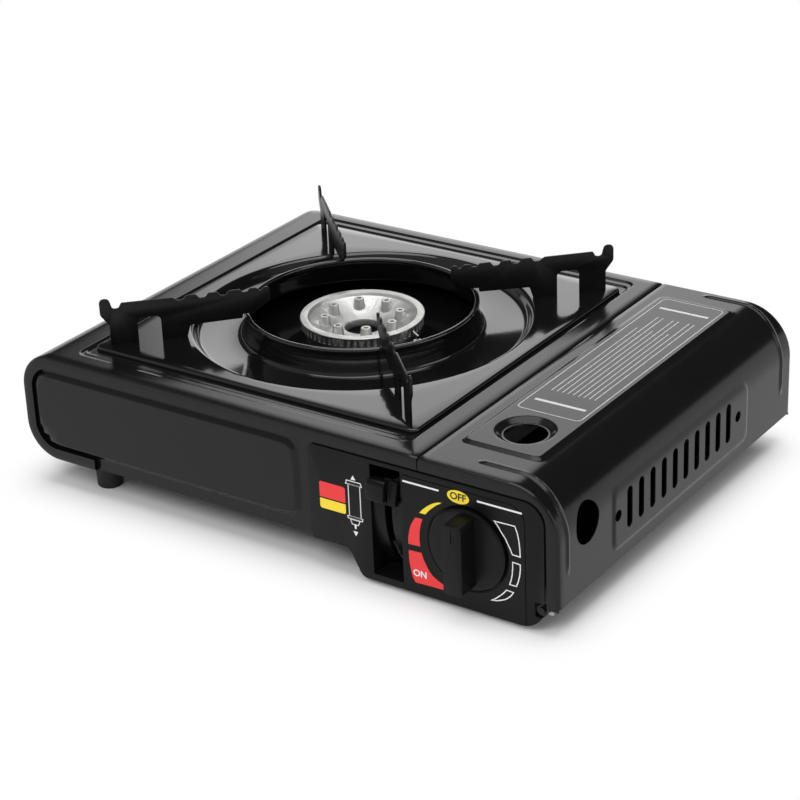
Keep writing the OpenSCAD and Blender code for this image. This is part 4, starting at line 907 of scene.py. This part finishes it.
def stage_material():
    """White floor: keeps the shadow near the stove, and is plain white a little way off."""
    material, nodes, links = new_material("stage_white")
    shader = nodes["Principled BSDF"]
    shader.inputs["Base Color"].default_value = (0.88, 0.88, 0.88, 1.0)
    shader.inputs["Roughness"].default_value = 0.9
    shader.inputs["Specular IOR Level"].default_value = 0.0
    white = nodes.new("ShaderNodeEmission")
    white.inputs["Color"].default_value = (1.0, 1.0, 1.0, 1.0)
    where = nodes.new("ShaderNodeTexCoord")
    split = nodes.new("ShaderNodeSeparateXYZ")
    links.new(where.outputs["Object"], split.inputs["Vector"])
    off = []
    for axis, half in (("X", SHADOW_HALF_X), ("Y", SHADOW_HALF_Y)):
        size = math_node(nodes, links, "ABSOLUTE", split.outputs[axis])
        size = math_node(nodes, links, "SUBTRACT", size, half)
        size = math_node(nodes, links, "MAXIMUM", size, 0.0)
        off.append(math_node(nodes, links, "MULTIPLY", size, size))
    reach = math_node(nodes, links, "SQRT", math_node(nodes, links, "ADD", off[0], off[1]))
    fade = ramp(nodes, links, reach, 0.0, SHADOW_FADE)
    path = nodes.new("ShaderNodeLightPath")
    seen = math_node(nodes, links, "MAXIMUM", path.outputs["Is Camera Ray"], path.outputs["Is Transmission Ray"])
    seen = math_node(nodes, links, "MAXIMUM", seen, path.outputs["Is Glossy Ray"])
    share = math_node(nodes, links, "MULTIPLY", fade, seen)
    mix = nodes.new("ShaderNodeMixShader")
    links.new(share, mix.inputs["Fac"])
    links.new(shader.outputs["BSDF"], mix.inputs[1])
    links.new(white.outputs["Emission"], mix.inputs[2])
    links.new(mix.outputs["Shader"], nodes["Material Output"].inputs["Surface"])
    return material


floor_mesh = bpy.data.meshes.new("floor")
floor_mesh.from_pydata([(-6, -6, 0), (6, -6, 0), (6, 6, 0), (-6, 6, 0)], [], [(0, 1, 2, 3)])
floor = add_object("floor", floor_mesh, stage_material())


PANEL_STRENGTH = 2.1


def light_room():
    """The room: a white horizon, a dim ceiling and one broad bright panel behind on the left.

    The camera sees plain white; the rest is what the paint reflects and what lights the scene.
    """
    world = bpy.data.worlds.new("studio")
    bpy.context.scene.world = world
    world.use_nodes = True
    nodes, links = world.node_tree.nodes, world.node_tree.links
    background = nodes["Background"]
    background.inputs["Color"].default_value = (1.0, 1.0, 1.0, 1.0)
    path = nodes.new("ShaderNodeLightPath")
    where = nodes.new("ShaderNodeTexCoord")
    split = nodes.new("ShaderNodeSeparateXYZ")
    links.new(where.outputs["Generated"], split.inputs["Vector"])
    turn_angle = math_node(nodes, links, "ARCTAN2", split.outputs["X"], split.outputs["Y"])
    height = math_node(nodes, links, "ARCSINE", split.outputs["Z"])
    left_edge = ramp(nodes, links, turn_angle, math.radians(-45), math.radians(-37))
    right_edge = ramp(nodes, links, turn_angle, math.radians(-26), math.radians(-19), 1.0, 0.0)
    fall = ramp(nodes, links, height, math.radians(21), math.radians(27), 1.05, 0.95)
    top_edge = ramp(nodes, links, height, math.radians(34), math.radians(44), 1.0, 0.0)
    panel_light = math_node(nodes, links, "MULTIPLY", left_edge, right_edge)
    panel_light = math_node(nodes, links, "MULTIPLY", panel_light, fall)
    panel_light = math_node(nodes, links, "MULTIPLY", panel_light, top_edge)
    panel_light = math_node(nodes, links, "MULTIPLY", panel_light, PANEL_STRENGTH)
    ceiling = ramp(nodes, links, split.outputs["Y"], 0.0, 0.5, 0.42, 0.05)
    room = math_node(nodes, links, "ADD", panel_light, ceiling)
    horizon = ramp(nodes, links, height, math.radians(7), math.radians(12), 1.0, 0.0)
    room = math_node(nodes, links, "MAXIMUM", room, horizon)
    strength = nodes.new("ShaderNodeMix")
    strength.data_type = "FLOAT"
    links.new(path.outputs["Is Camera Ray"], strength.inputs["Factor"])
    links.new(room, strength.inputs["A"])
    strength.inputs["B"].default_value = 1.0
    links.new(strength.outputs["Result"], background.inputs["Strength"])


light_room()


def softbox(name, at, aim, wide, high, watts, mirrored=True):
    """A large soft lamp that faces aim; one that isn't mirrored leaves no spot on gloss paint."""
    data = bpy.data.lights.new(name, "AREA")
    data.shape = "RECTANGLE"
    data.size = wide
    data.size_y = high
    data.energy = watts
    lamp = bpy.data.objects.new(name, data)
    bpy.context.collection.objects.link(lamp)
    way = Vector(aim) - Vector(at)
    lamp.matrix_world = Matrix.Translation(at) @ way.to_track_quat("-Z", "Y").to_matrix().to_4x4()
    lamp.visible_glossy = mirrored


softbox("overhead", (0.0, 0.1, 1.8), (0, 0, 0), 1.6, 1.4, 21.0)
softbox("front_fill", (0.3, -1.5, 1.6), (0, 0, 0.03), 1.1, 0.9, 18.0, mirrored=False)
softbox("right_side", (1.9, 0.5, 0.8), (0, 0, 0.05), 1.2, 1.0, 6.0)
